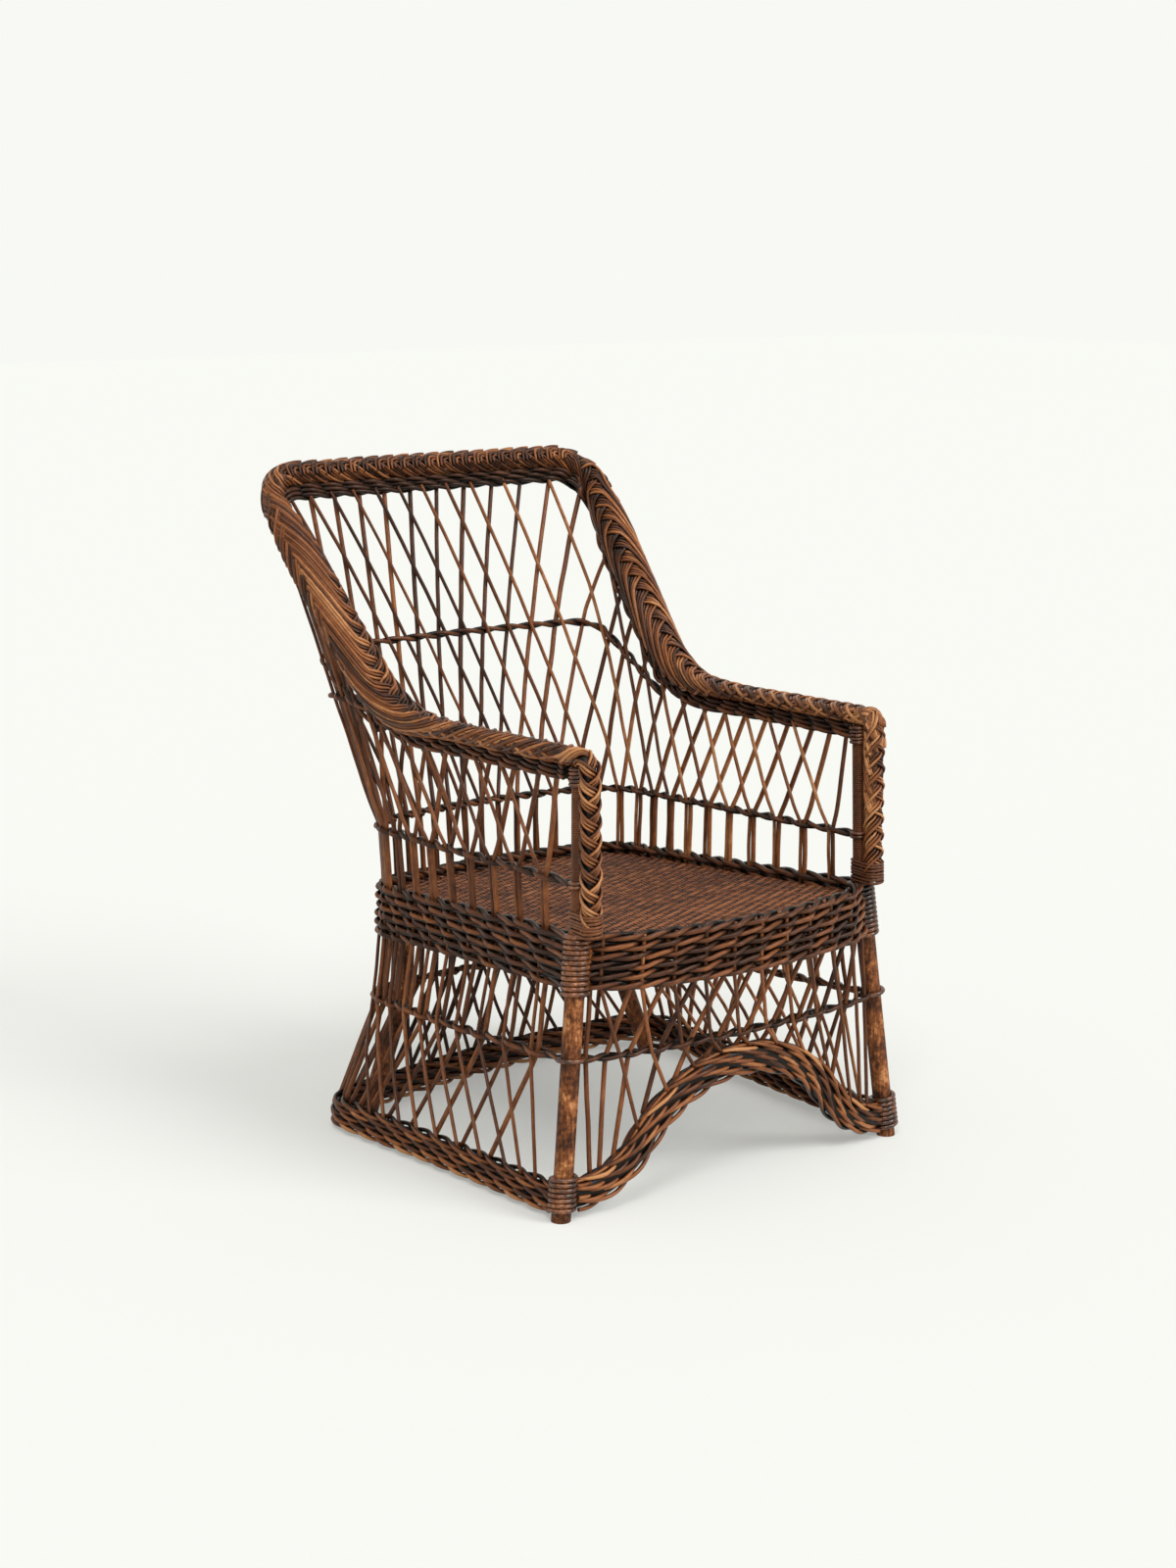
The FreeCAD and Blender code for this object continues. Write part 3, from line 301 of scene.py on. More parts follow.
class Rods:
    """Rods of one piece. Each carries its place along, its own tone, a level of painted light, which paints
    it lighter where it lies proud and darker, as shade, where it lies deep, and its glow, a lightening added
    on top.
    """

    def __init__(self, name):
        self.name = name
        self.points, self.faces, self.rod, self.mix = [], [], [], []
        self.total = 0

    def add(self, path, radius, ref, proud=0.5, sides=8, flat=1.0, tone=None, face=None, glow=0.0):
        """A rod along path; flat squeezes it along ref, and it is painted lighter on the side toward face
        and painted darker, as shade, on the side away from it.
        """
        path = np.asarray(path, float)
        number = len(path)
        tangent = unit(np.gradient(path, axis=0))
        ref = np.broadcast_to(ref, path.shape)
        normal = unit(ref - np.sum(ref * tangent, axis=1, keepdims=True) * tangent)
        side = np.cross(tangent, normal)
        radius = np.broadcast_to(radius, number)[:, None, None]
        flat = np.broadcast_to(flat, number)[:, None, None]
        angles = np.arange(sides) * 2 * math.pi / sides
        cosine, sine = np.cos(angles)[None, :, None], np.sin(angles)[None, :, None]
        spoke = cosine * normal[:, None] + sine * side[:, None]
        ring = path[:, None] + radius * (flat * cosine * normal[:, None] + sine * side[:, None])
        tone = rng.random() if tone is None else tone
        seed = rng.random(3) * 90
        run = np.broadcast_to((lengths(path) / 1000)[:, None], (number, sides))
        around = np.broadcast_to(angles, (number, sides))
        rod = np.stack([run * 40, np.cos(around), np.sin(around)], axis=-1) + seed
        face = normal if face is None else np.broadcast_to(face, path.shape)
        # Painted light: the rod's level plus its turn toward face paint a highlight on one side and shade on
        # the other.
        lit = np.broadcast_to(proud, number)[:, None] + 0.65 * np.sum(spoke * face[:, None], axis=-1)
        glow = np.broadcast_to(np.broadcast_to(glow, number)[:, None], (number, sides))
        mix = np.stack([np.full((number, sides), tone), np.clip(lit, 0, 1), glow], axis=-1)
        index = self.total + np.arange(number * sides).reshape(number, sides)
        following = np.roll(index, -1, axis=1)
        quads = np.stack([index[:-1], following[:-1], following[1:], index[1:]], axis=-1).reshape(-1, 4)
        self.faces += quads.tolist()
        self.faces += [index[0, ::-1].tolist(), index[-1].tolist()]
        self.points.append(ring.reshape(-1, 3))
        self.rod.append(rod.reshape(-1, 3))
        self.mix.append(mix.reshape(-1, 3))
        self.total += number * sides

    def finish(self, material, slot, *nodes):
        mesh = bpy.data.meshes.new(self.name)
        mesh.from_pydata(metres(np.concatenate(self.points)).tolist(), [], self.faces)
        for name, values in (("rod", self.rod), ("mix", self.mix)):
            layer = mesh.attributes.new(name, "FLOAT_VECTOR", "POINT")
            layer.data.foreach_set("vector", np.concatenate(values).astype(np.float32).ravel())
        mesh.shade_smooth()
        mesh.materials.append(material)
        piece = bpy.data.objects.new(self.name, mesh)
        bpy.context.collection.objects.link(piece)
        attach(piece, "root")
        if nodes:
            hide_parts(*nodes)


TWINE_PACE = 1.4
ROD_SPACING, PLAIT_SIDES = 2.08, 6


def twine(rods, path, out, up, phase, radius, swing=9.0, waist=4.2, rise=2.8, turn=0.0, ply=2):
    """Strands twisted about each other: swing apart at each pair of stakes, waist apart between."""
    apart = waist + (swing - waist) * (1 + np.cos(phase)) / 2
    for strand in range(ply):
        angle = phase * TWINE_PACE / ply + turn + 2 * math.pi * strand / ply
        wave = np.cos(angle)
        line = path + out * (apart * wave)[:, None] + up * (rise * np.sin(angle))[:, None]
        thick = radius * (1 + 0.06 * np.sin(angle * 0.37 + rng.random() * 6))
        # Each strand is painted lighter where it swings out and painted darker, as shade, where it passes
        # between the others.
        rods.add(line, thick, up, 0.6 * np.abs(wave), face=out * np.sign(wave)[:, None])


def bundle(rods, centre, normal, number, radius, proud, squeeze, tilt, glow):
    """Rods side by side that follow one line on a surface, tilted so that one edge lies proud."""
    tangent = unit(np.gradient(centre, axis=0))
    across = unit(np.cross(tangent, normal))
    for index in range(number):
        step = index - (number - 1) / 2
        offset = step * ROD_SPACING * radius * squeeze
        line = centre + across * offset[:, None] + normal * (tilt * step + 0.25 * rng.standard_normal())
        thick = radius * (1 + 0.05 * rng.standard_normal())
        # The proud edge of a bundle is painted lighter and the tucked edge darker, as shade from the next
        # bundle.
        rods.add(line, thick, normal, proud + 0.1 * np.sign(tilt) * step, PLAIT_SIDES, glow=glow)


class Spine:
    """A line with a section that turns and changes along it."""

    def __init__(self, run, path, out, up, half_out, half_up, ridge, glow):
        self.run = run
        self.columns = np.column_stack([path, out, up, half_out, half_up, ridge, glow])

    def at(self, run):
        return np.stack([np.interp(run, self.run, column) for column in self.columns.T], axis=1)

    def on_section(self, run, across, lift, radius):
        """Points and normals on the section, at a way across from its ridge."""
        values = self.at(run)
        path, out, up = values[:, :3], unit(values[:, 3:6]), unit(values[:, 6:9])
        wide, high = values[:, 9] - radius, values[:, 10] - radius
        angle = values[:, 11] + across / np.sqrt((wide**2 + high**2) / 2)
        sine, cosine = np.sin(angle), np.cos(angle)
        normal = unit(out * (sine / wide)[:, None] + up * (cosine / high)[:, None])
        point = path + out * (wide * sine)[:, None] + up * (high * cosine)[:, None]
        return point + normal * np.broadcast_to(lift, len(point))[:, None], normal, values[:, 12]


WAY_STEP, TURN_WAY, TILT = 1.6, 26.0, 1.4


def herringbone(rods, spine, first, last, pitch, side, radius, flank):
    """Bundles of rods that leave the ridge one after another and lie down along one flank.

    The flank gives the rods in a bundle, their first and last angle to the ridge and their reach."""
    number, angles, reach = flank
    way = np.arange(-7.0, reach, WAY_STEP)
    turn = np.radians(angles[0] + (angles[1] - angles[0]) * smooth(way / TURN_WAY))
    run = np.cumsum(WAY_STEP / np.tan(turn))
    run -= np.interp(0, way, run)
    lift = 3.6 * smooth((way + 6) / 10) - 3.2 - 0.05 * np.maximum(way - TURN_WAY, 0)
    squeeze = np.clip(1.12 * pitch * np.sin(turn) / (number * ROD_SPACING * radius), 0.7, 1)
    keep = np.unique(np.searchsorted(run, np.arange(run[0], run[-1], 3.0)))
    keep = np.unique(np.concatenate([keep, np.arange(0, 14, 2)]))
    keep = keep[keep < len(run)]
    for start in np.arange(first, last, pitch):
        places = start + (pitch / 2 if side < 0 else 0) + run
        here = keep[(places[keep] >= 0) & (places[keep] <= spine.run[-1])]
        if len(here) < 4:
            continue
        centre, normal, glow = spine.on_section(places[here], side * way[here], lift[here], radius)
        # Rods are painted darker, as shade, where they leave the ridge, and lighter where they lie out on
        # the flank.
        proud = 0.1 + 0.4 * smooth((way[here] + 2) / 14) + 0.1 * rng.standard_normal()
        bundle(rods, centre, normal, number, radius, proud, squeeze[here], TILT * side, glow)


def scallops(rods, spine, first, last, pitch, heights, radius):
    """Loops of nested rods that overlap along one flank like scales."""
    turn = np.linspace(-0.1, 0.84, 22) * math.pi
    lift = 3.2 - 1.6 * turn
    for start in np.arange(first, last, pitch):
        proud = 0.36 + 0.1 * rng.standard_normal()
        for height in heights:
            places = start - 1.25 * height * np.cos(turn)
            line, normal, glow = spine.on_section(places, height * np.sin(turn), lift, radius)
            thick = radius * (1 + 0.05 * rng.standard_normal())
            rods.add(line, thick, normal, proud, PLAIT_SIDES, glow=glow)


# Materials


def new_material(name):
    material = bpy.data.materials.new(name)
    material.use_nodes = True
    tree = material.node_tree
    return material, tree, tree.nodes["Principled BSDF"]


def add_node(tree, kind, **values):
    node = tree.nodes.new(kind)
    for key, value in values.items():
        if key in node.inputs:
            node.inputs[key].default_value = value
        else:
            setattr(node, key, value)
    return node


def maths(tree, operation, first, second, clamp=False):
    node = tree.nodes.new("ShaderNodeMath")
    node.operation = operation
    node.use_clamp = clamp
    for socket, value in zip(node.inputs, (first, second)):
        if isinstance(value, (int, float)):
            socket.default_value = value
        else:
            tree.links.new(value, socket)
    return node.outputs[0]


def ramp(tree, factor, stops):
    node = tree.nodes.new("ShaderNodeValToRGB")
    elements = node.color_ramp.elements
    while len(elements) < len(stops):
        elements.new(0.5)
    for element, (place, colour) in zip(elements, stops):
        element.position = place
        element.color = (*colour, 1)
    tree.links.new(factor, node.inputs[0])
    return node.outputs[0]


def noise(tree, vector, scale, detail=3.0, rough=0.55):
    node = add_node(tree, "ShaderNodeTexNoise", Scale=scale, Detail=detail, Roughness=rough)
    tree.links.new(vector, node.inputs["Vector"])
    return node.outputs["Fac"]


def weighted(tree, terms, base):
    total = base
    for value, weight in terms:
        total = maths(tree, "ADD", maths(tree, "MULTIPLY", value, weight), total)
    return maths(tree, "ADD", total, 0.0, clamp=True)


def rod_material(name, stops, base, weights, rough=(0.22, 0.42), coat=0.0):
    """Varnished rods: streaks along each rod, a tone for each, and painted light: lighter where it lies
    proud, painted shade where it lies deep.
    """
    material, tree, shader = new_material(name)
    rod = add_node(tree, "ShaderNodeAttribute", attribute_name="rod").outputs["Vector"]
    mix = add_node(tree, "ShaderNodeAttribute", attribute_name="mix").outputs["Vector"]
    split = tree.nodes.new("ShaderNodeSeparateXYZ")
    tree.links.new(mix, split.inputs[0])
    place = tree.nodes.new("ShaderNodeTexCoord").outputs["Object"]
    streak = noise(tree, rod, 1.6, 5.0, 0.62)
    patch = noise(tree, place, 14.0, 3.0)
    grime = noise(tree, place, 90.0, 4.0, 0.65)
    light_and_shade_weight, tone, fibre, stain, fine = weights
    # The first term paints the rods' light and shade from the lit values in the mesh.
    terms = (
        (split.outputs[1], light_and_shade_weight), (split.outputs[0], tone), (split.outputs[2], 1.0),
        (streak, fibre), (patch, stain), (grime, fine),
    )
    factor = weighted(tree, terms, base - 0.5 * (fibre + stain + fine + tone))
    tree.links.new(ramp(tree, factor, stops), shader.inputs["Base Color"])
    spread = maths(tree, "MULTIPLY", streak, rough[1] - rough[0])
    tree.links.new(maths(tree, "ADD", spread, rough[0]), shader.inputs["Roughness"])
    lump = add_node(tree, "ShaderNodeBump", Strength=0.35, Distance=0.0006)
    tree.links.new(streak, lump.inputs["Height"])
    tree.links.new(lump.outputs[0], shader.inputs["Normal"])
    shader.inputs["Specular IOR Level"].default_value = 0.19
    shader.inputs["Coat Weight"].default_value = coat
    shader.inputs["Coat Roughness"].default_value = 0.2
    return material


def pole_material(name, stops, base, rough=(0.35, 0.6), stretch=(60, 60, 9), bump=0.4, gloss=0.14):
    """Turned or peeled poles: mottled stain, long scratches and rubbed patches, by place alone."""
    material, tree, shader = new_material(name)
    place = tree.nodes.new("ShaderNodeTexCoord").outputs["Object"]
    grain_place = add_node(tree, "ShaderNodeMapping", Scale=stretch)
    tree.links.new(place, grain_place.inputs["Vector"])
    grain = noise(tree, grain_place.outputs[0], 4.0, 6.0, 0.65)
    patch = noise(tree, place, 22.0, 4.0, 0.6)
    fleck = noise(tree, place, 160.0, 3.0, 0.6)
    factor = weighted(tree, ((grain, 1.1), (patch, 1.6), (fleck, 0.9)), base - 1.8)
    tree.links.new(ramp(tree, factor, stops), shader.inputs["Base Color"])
    spread = maths(tree, "MULTIPLY", grain, rough[1] - rough[0])
    tree.links.new(maths(tree, "ADD", spread, rough[0]), shader.inputs["Roughness"])
    lump = add_node(tree, "ShaderNodeBump", Strength=bump, Distance=0.0008)
    tree.links.new(grain, lump.inputs["Height"])
    tree.links.new(lump.outputs[0], shader.inputs["Normal"])
    shader.inputs["Specular IOR Level"].default_value = gloss
    return material


INK, SOOT, UMBER = (0.006, 0.0035, 0.002), (0.020, 0.009, 0.0045), (0.056, 0.0205, 0.0095)
RUST, AMBER, HONEY = (0.145, 0.0475, 0.0165), (0.30, 0.105, 0.034), (0.50, 0.23, 0.092)
WILLOW = [(0.0, INK), (0.22, SOOT), (0.45, UMBER), (0.66, RUST), (0.86, AMBER), (1.0, HONEY)]
SEAT = [
    (0.0, (0.007, 0.0025, 0.0012)), (0.35, (0.042, 0.012, 0.004)),
    (0.65, (0.13, 0.039, 0.012)), (1.0, (0.30, 0.11, 0.042)),
]
# Copies of willow with painted light: lit_stake_willow is painted lighter, as the light on the stakes, and
# shaded_willow darker, as the shade on the back's binder rows. The first weight scales each rod's painted
# light and shade.
willow = rod_material("willow", WILLOW, -0.05, (0.62, 0.36, 0.5, 0.36, 0.25))
lit_stake_willow = rod_material("lit_stake_willow", WILLOW, 0.42, (0.42, 0.34, 0.5, 0.4, 0.25))
plait_willow = rod_material("plait_willow", WILLOW, -0.04, (0.7, 0.55, 0.5, 0.36, 0.25))
shaded_willow = rod_material("shaded_willow", WILLOW, -0.18, (0.55, 0.24, 0.4, 0.3, 0.2))
seat_cane = rod_material("seat_cane", SEAT, -0.32, (1.05, 0.55, 0.4, 0.4, 0.3))
wrap_cane = rod_material("wrap_cane", WILLOW, 0.2, (0.45, 0.2, 0.4, 0.5, 0.3), coat=0.05)
leg_bark = pole_material("leg_bark", WILLOW, 0.66)
frame_wood = pole_material("frame_wood", WILLOW, 0.62)
coil_cane = pole_material("coil_cane", WILLOW, 0.56, (0.16, 0.32), (30, 30, 30), 0.25, 0.5)
nail_iron = pole_material("nail_iron", [(0, INK), (1, (0.09, 0.075, 0.06))], 0.5, (0.4, 0.7))
nail_iron.node_tree.nodes["Principled BSDF"].inputs["Metallic"].default_value = 0.8

# Woven rows round the sides and back


def pair_places(pairs, first, step, opening):
    """Places of pairs of stakes, opening out or closing up as they go."""
    index = np.arange(pairs)
    return first + step * index + opening * index**2


left_places = pair_places(10, 0.15, 0.125, -0.0037)
right_places = 3 - pair_places(11, 0.109, 0.1125, -0.0026)
back_places = pair_places(BACK_PAIRS, 1.045, 0.0575, 0.00092)
stake_places = np.concatenate([left_places, back_places, right_places[::-1]])
GAP = 3.2


def stake_phase(u):
    """A full turn of twist for each pair of stakes."""
    ends = np.concatenate([[0], stake_places, [3]])
    counts = np.concatenate([[-1], np.arange(len(stake_places) + 1)])
    return 2 * math.pi * np.interp(u, ends, counts)


def row_line(row, stop):
    """Even places along a row, clear of a pole of radius stop at either end."""
    whole = row.at(np.linspace(0, 3, 3001))
    run = lengths(whole)
    places = np.linspace(stop, run[-1] - stop, int(run[-1] / GAP))
    return np.interp(places, run, np.linspace(0, 3, 3001))


def upright(u):
    return np.broadcast_to(UP, (len(u), 3))


def blend_row(level):
    low, high = np.array(LOW_BAND), np.array(HIGH_BAND)
    height = BAND_LOW + (BAND_HIGH - BAND_LOW) * level
    return Row(height, SEAT_SLOPE, leg_axis, *(low + (high - low) * level))


BAND_TWIST = {"radius": 3.6, "swing": 10.5, "waist": 6.0, "rise": 3.6, "ply": 3}
RAIL_TWIST = {"radius": 3.5}
BAND_TURN = 1.3
FILLER_RISE, FILLER_SHIFT, FILLER_RADIUS = 6.6, 2.5, 3.0

band = Rods("seat_band_rows")
for index, level in enumerate(np.linspace(0, 1, BAND_ROWS)):
    row = blend_row(level)
    u = row_line(row, LEG_RADIUS + 1)
    twine(band, row.at(u), row.out(u), upright(u), stake_phase(u), turn=BAND_TURN * index, **BAND_TWIST)
    if index < BAND_ROWS - 1:
        # A filler rod between the rows, painted dark as the shade there.
        band.add(row.at(u) + UP * FILLER_RISE + row.out(u) * FILLER_SHIFT, FILLER_RADIUS, UP, 0.1)
band.finish(willow, "willow", "left_seat_band", "right_seat_band", "back_seat_band")

for row, name, stop in ((skirt_row, "skirt_rail", LEG_RADIUS), (arm_rail_row, "arm_rail", 10.0)):
    rods = Rods(name + "_rows")
    u = row_line(row, stop + 1)
    twine(rods, row.at(u), row.out(u), upright(u), stake_phase(u), **RAIL_TWIST)
    rods.finish(willow, "willow", "left_" + name, "right_" + name, "back_" + name)

front_places = -1 + (2 * np.arange(FRONT_PAIRS) + 1) / FRONT_PAIRS


def bend_in(x, height, bow):
    """How far a front row bends in to the coil of a leg, near its ends."""
    leg = leg_axis(RIGHT, height)
    return (leg[1] - bow[0]) * smooth((np.abs(x) - leg[0] + 59) / 50)


def front_line(height, bow):
    """A front row's places, line and outward direction."""
    leg = leg_axis(RIGHT, height)
    x = np.linspace(9 - leg[0], leg[0] - 9, int(2 * leg[0] / GAP))
    line = front_point(x, height, bow)
    line[:, 1] += bend_in(x, height, bow)
    return x / leg[0], line, front_out(x, height, bow)


def front_row(rods, height, bow, turn, twist):
    share, line, out = front_line(height, bow)
    phase = math.pi * (share - front_places[0]) * FRONT_PAIRS
    twine(rods, line, out, upright(share), phase, turn=turn, **twist)


front_band = Rods("front_band_rows")
for index, height in enumerate(np.linspace(BAND_LOW, BAND_HIGH, BAND_ROWS)):
    front_row(front_band, height, BAND_BOW, BAND_TURN * index, BAND_TWIST)
    if index < BAND_ROWS - 1:
        line, out = front_line(height + FILLER_RISE, BAND_BOW)[1:]
        # A filler rod between the rows, painted dark as the shade there.
        front_band.add(line - out * FILLER_SHIFT, FILLER_RADIUS, UP, 0.1)
front_band.finish(willow, "willow", "front_seat_band")
front_skirt = Rods("front_skirt_rows")
front_row(front_skirt, SKIRT_HEIGHT, SKIRT_BOW, 0, RAIL_TWIST)
front_skirt.finish(willow, "willow", "front_skirt_rail")

# Rows on the wall above the arm rail


def wall_row(rods, u, share, turn_length, radius=3.4, swing=7.0, waist=3.8, rise=2.8):
    line = wall_at(u, share)
    places = np.linspace(0, lengths(line)[-1], int(lengths(line)[-1] / GAP))
    u = np.interp(places, lengths(line), u)
    share = np.interp(places, lengths(line), share)
    path = wall_at(u, share)
    out = wall_out(u, share)
    up = unit(np.cross(unit(np.gradient(path, axis=0)), out))
    twine(rods, path, out, up, 2 * math.pi * lengths(path) / turn_length, radius, swing, waist, rise)


BINDER_DROPS = (5.5, 12.5, 19.5)
BINDER_TWIST = {"radius": 3.5, "swing": 8.2, "waist": 5.5, "rise": 2.4}
WING_TWIST = {"radius": 3.6, "swing": 12.0, "waist": 6.0, "rise": 2.8}
arm_start = rim.place((BINDING_RADIUS + 12) / rim.length)
whole_u = rim.place(np.linspace(rim.run(arm_start), 1 - rim.run(arm_start), 900))


def under_rim(u, drop):
    """Share of the wall's height at a drop below the rim; the rows draw together on the wings."""
    return share_under_rim(u, drop * (1 - 0.45 * rim.spread(u)))


# The back's binder rows take the darker copy of willow, painted shade under the crest.
for zone, (name, material) in enumerate((("left", willow), ("back", shaded_willow), ("right", willow))):
    binder = Rods(name + "_binder_rows")
    zone_u = whole_u[(whole_u >= zone - 0.01) & (whole_u <= zone + 1.01)]
    for drop in BINDER_DROPS:
        wall_row(binder, zone_u, under_rim(zone_u, drop), 52.0 + drop / 2, **BINDER_TWIST)
        # A filler rod between the rows, painted dark as the shade there.
        filler = wall_at(zone_u, under_rim(zone_u, drop - 3.5))
        binder.add(spaced(filler, 8), 2.5, UP, 0.1)
    binder.finish(material, "willow", name + "_rim_binder")

back_rail = Rods("back_rail_rows")
rail_u = np.linspace(0.82, 2.18, 400)
rail_share = 0.5 + np.maximum(1 - np.minimum(rail_u, 3 - rail_u), 0)
reaches = rail_share <= share_under_rim(rail_u, 10)
rail_u, rail_share = rail_u[reaches], rail_share[reaches]
wall_row(back_rail, rail_u, rail_share, 60.0)
back_rail.finish(willow, "willow", "back_rail")

wing_row = Rods("left_wing_rows")
wing_u = np.linspace(0.76, 0.995, 120)
wing_share = 0.385 + 2.27 * (1 - wing_u)
reaches = wing_share <= share_under_rim(wing_u, 8)
wall_row(wing_row, wing_u[reaches], wing_share[reaches], 44.0, **WING_TWIST)
wing_row.finish(willow, "willow", "left_wing_row")

# Stakes


def leaned(place, shift, low, high):
    room = (high - place) if shift > 0 else (place - low)
    return place + math.copysign(min(abs(shift), 0.5 * max(room, 0)), shift)


def waver(path, amount):
    """A rod's own unevenness: two slow waves, none at its ends."""
    run = lengths(path)
    fade = np.sin(np.clip(run / run[-1], 0, 1) * math.pi)
    offset = np.zeros_like(path)
    for wave in (170.0, 75.0):
        turn = rng.random(3) * 2 * math.pi
        offset += np.sin(2 * math.pi * run[:, None] / wave + turn) * amount * wave / 170
    return path + offset * fade[:, None]


SIDE_LENGTH = float(np.linalg.norm(arm_rail_row.at(1) - arm_rail_row.at(0)))
PAIR_HALF = (STOUT + FINE) / 4
STAKE_BEND, STAKE_GAP = 25.0, 9.0


def leaning(u, lean, fine, share):
    """Place, at a share of the wall's height, of a stake that leaves the arm rail at u."""
    zone = min(int(u), 2)
    if zone == 1:
        rate = 0.33 if fine else 0.055 + 0.35 * (u - 1)
        beyond = 0.13 if fine else 0.12
    else:
        from_corner = 1 - u if zone == 0 else u - 2
        rate = 0.13 + 0.08 * from_corner if fine else 0.12
        beyond = 0.33
    ends = {(0, 1): 1, (0, -1): arm_start, (2, 1): 3 - arm_start}
    if (zone, lean) in ends:
        return u + lean * min(rate, 0.5 * abs(ends[zone, lean] - u)) * share
    corner = 1 if (zone, lean) == (1, -1) else 2
    meets = abs(corner - u) / rate
    if share <= meets:
        return u + lean * rate * share
    return corner + lean * beyond * (share - meets)


def stake_path(u, lean, diameter):
    layer = lean * (STAKES_HALF - diameter / 2)
    beside = u + lean * PAIR_HALF / SIDE_LENGTH
    zone = min(int(u), 2)
    margin = (COIL_RADIUS + STOUT) / SIDE_LENGTH
    low, high = (margin if zone == 0 else zone), (3 - margin if zone == 2 else zone + 1)
    foot_u = leaned(u, -lean * 1.3 * (BACK_STEP if zone == 1 else SIDE_STEP), low, high)
    middle = (beside + foot_u) / 2
    points = [foot_row.at(foot_u) + foot_row.out(foot_u) * layer - UP * 3]
    points.append((foot_row.at(middle) + skirt_row.at(middle)) / 2 + skirt_row.out(middle) * layer)
    for row in (skirt_row, low_band_row, seat_row, arm_rail_row):
        near = 0.25 if row in (seat_row, arm_rail_row) else 1.0
        points.append(row.at(beside) + row.out(beside) * layer * near)
    fine = diameter == FINE
    end = 1.0
    for _ in range(40):
        end = (end + under_rim(leaning(beside, lean, fine, end), 15)) / 2
    for share in steps(0, end, 6)[1:]:
        place = leaning(beside, lean, fine, share)
        points.append(wall_at(place, share) + wall_out(place, share) * layer)
    return spaced(rounded(points, [STAKE_BEND] * len(points)), STAKE_GAP)


# The last number is painted light: the right stakes are painted lighter and the back stakes darker, as the
# light and shade on those sides.
stake_groups = (
    ("left_stakes", left_places, 1, 0.0),
    ("back_stakes", back_places, -1, -0.05),
    ("right_stakes", right_places, -1, 0.1),
)
for name, places, fine_lean, painted_light in stake_groups:
    rods = Rods(name.replace("stakes", "lattice"))
    if name == "left_stakes":
        for u in np.linspace(0.93, 0.995, 5):
            end = float(share_under_rim(u, 10))
            corner = [seat_row.at(u), arm_rail_row.at(u)]
            corner += [wall_at(u, share) for share in steps(0, end, 5)[1:]]
            path = waver(spaced(rounded(corner, [STAKE_BEND] * len(corner)), STAKE_GAP), 0.6)
            rods.add(path, 3.0, np.array([-1.0, 0, 0]), 0.4, 10, face=ALIKE_ALL_ROUND)
    for u in places:
        for lean in (1, -1):
            diameter = FINE if lean == fine_lean else STOUT
            path = waver(stake_path(u, lean, diameter), 0.5)
            out = np.broadcast_to(rim_frame(u)[2] * lean, path.shape)
            radius = diameter / 2 * (1 + 0.07 * rng.standard_normal())
            rods.add(path, radius, out, 0.5, 10, face=ALIKE_ALL_ROUND, glow=painted_light)
    rods.finish(lit_stake_willow, "willow", name)

# Arch, foot border and the front skirt's stakes

ARCH_RUN, ARCH_APEX, ARCH_FOOT, ARCH_SHARE = 285.0, 177.0, 31.0, 0.6
ARCH_BOW = (0.0, 20.0)
ARCH_AT_LEG, STAKES_SPAN_HEIGHT = 77.0, 358.0


def arch_height(x):
    total = ARCH_RUN / math.sin(2 * math.atan((ARCH_APEX - ARCH_FOOT) / ARCH_RUN))
    crown, toe = total * ARCH_SHARE, total * (1 - ARCH_SHARE)
    x = np.abs(np.asarray(x, float))
    top = ARCH_APEX - crown + np.sqrt(np.maximum(crown**2 - x**2, 0))
    left_over = np.clip(ARCH_RUN - x, 0, toe)
    foot = ARCH_FOOT + toe - np.sqrt(toe**2 - left_over**2)
    return np.where(x < ARCH_RUN * ARCH_SHARE, top, foot)


def arch_point(x):
    x = np.asarray(x, float)
    return np.stack([x, bow_y(x, ARCH_RUN, ARCH_BOW), arch_height(x)], axis=-1)


def wale(rods, path, out, up, rows, stroke, radius, rise):
    """Rows of three rods each that pass over one another in long strokes."""
    run = lengths(path)
    for index, (height, swing, painted_light) in enumerate(rows):
        row_radius = radius * (1 + 0.04 * (index % 2))
        for strand in range(3):
            angle = 2 * math.pi * (run / stroke + strand) / 3 + 1.1 * index
            wave = np.cos(angle)
            lift = height + rise * np.sin(angle)
            line = path + out * (swing * wave)[:, None] + up * lift[:, None]
            face = out * np.sign(wave)[:, None]
            # Each rod is painted lighter where it swings out and darker, as shade, between; the row's
            # painted light is added on top.
            rods.add(line, row_radius, up, 0.1 + 0.5 * np.abs(wave), face=face, glow=painted_light)


arch_end = leg_axis(RIGHT, ARCH_AT_LEG)[0] - 12
arch_line = spaced(arch_point(np.linspace(-arch_end, arch_end, 1200)), GAP)
arch_out = np.broadcast_to([0.0, -1.0, 0.0], arch_line.shape)
arch_along = unit(np.gradient(arch_line, axis=0))
arch_up = unit(np.cross(arch_along, arch_out))
arch = Rods("arch_plait")
# Each row: height, swing and painted light; the lowest rows are painted lighter.
ARCH_ROWS = ((-17.0, 9.0, 0.16), (-9.0, 11.0, 0.05), (-0.5, 11.0, 0.0), (8.0, 11.0, 0.0), (16.5, 9.5, 0.0))
wale(arch, arch_line, arch_out, arch_up, ARCH_ROWS, 46.0, 3.1, 4.2)
# A dark core behind the rows, painted as the shade between them.
arch.add(arch_line, 9.0, arch_up, 0.0, 12, 2.0, 0.0)
for side in (LEFT, RIGHT):
    # Two rods along the lower edge, painted lighter on their front.
    arch.add(arch_line - arch_up * 20.2 + arch_out * 2.7 * side, 2.5, arch_out, 0.8)
arch.finish(plait_willow, "plait", "front_arch_border")

border = Rods("foot_border_plait")
border_u = row_line(foot_row, LEG_RADIUS)
border_line = foot_row.at(border_u)
border_out = foot_row.out(border_u)
border_up = upright(border_u)
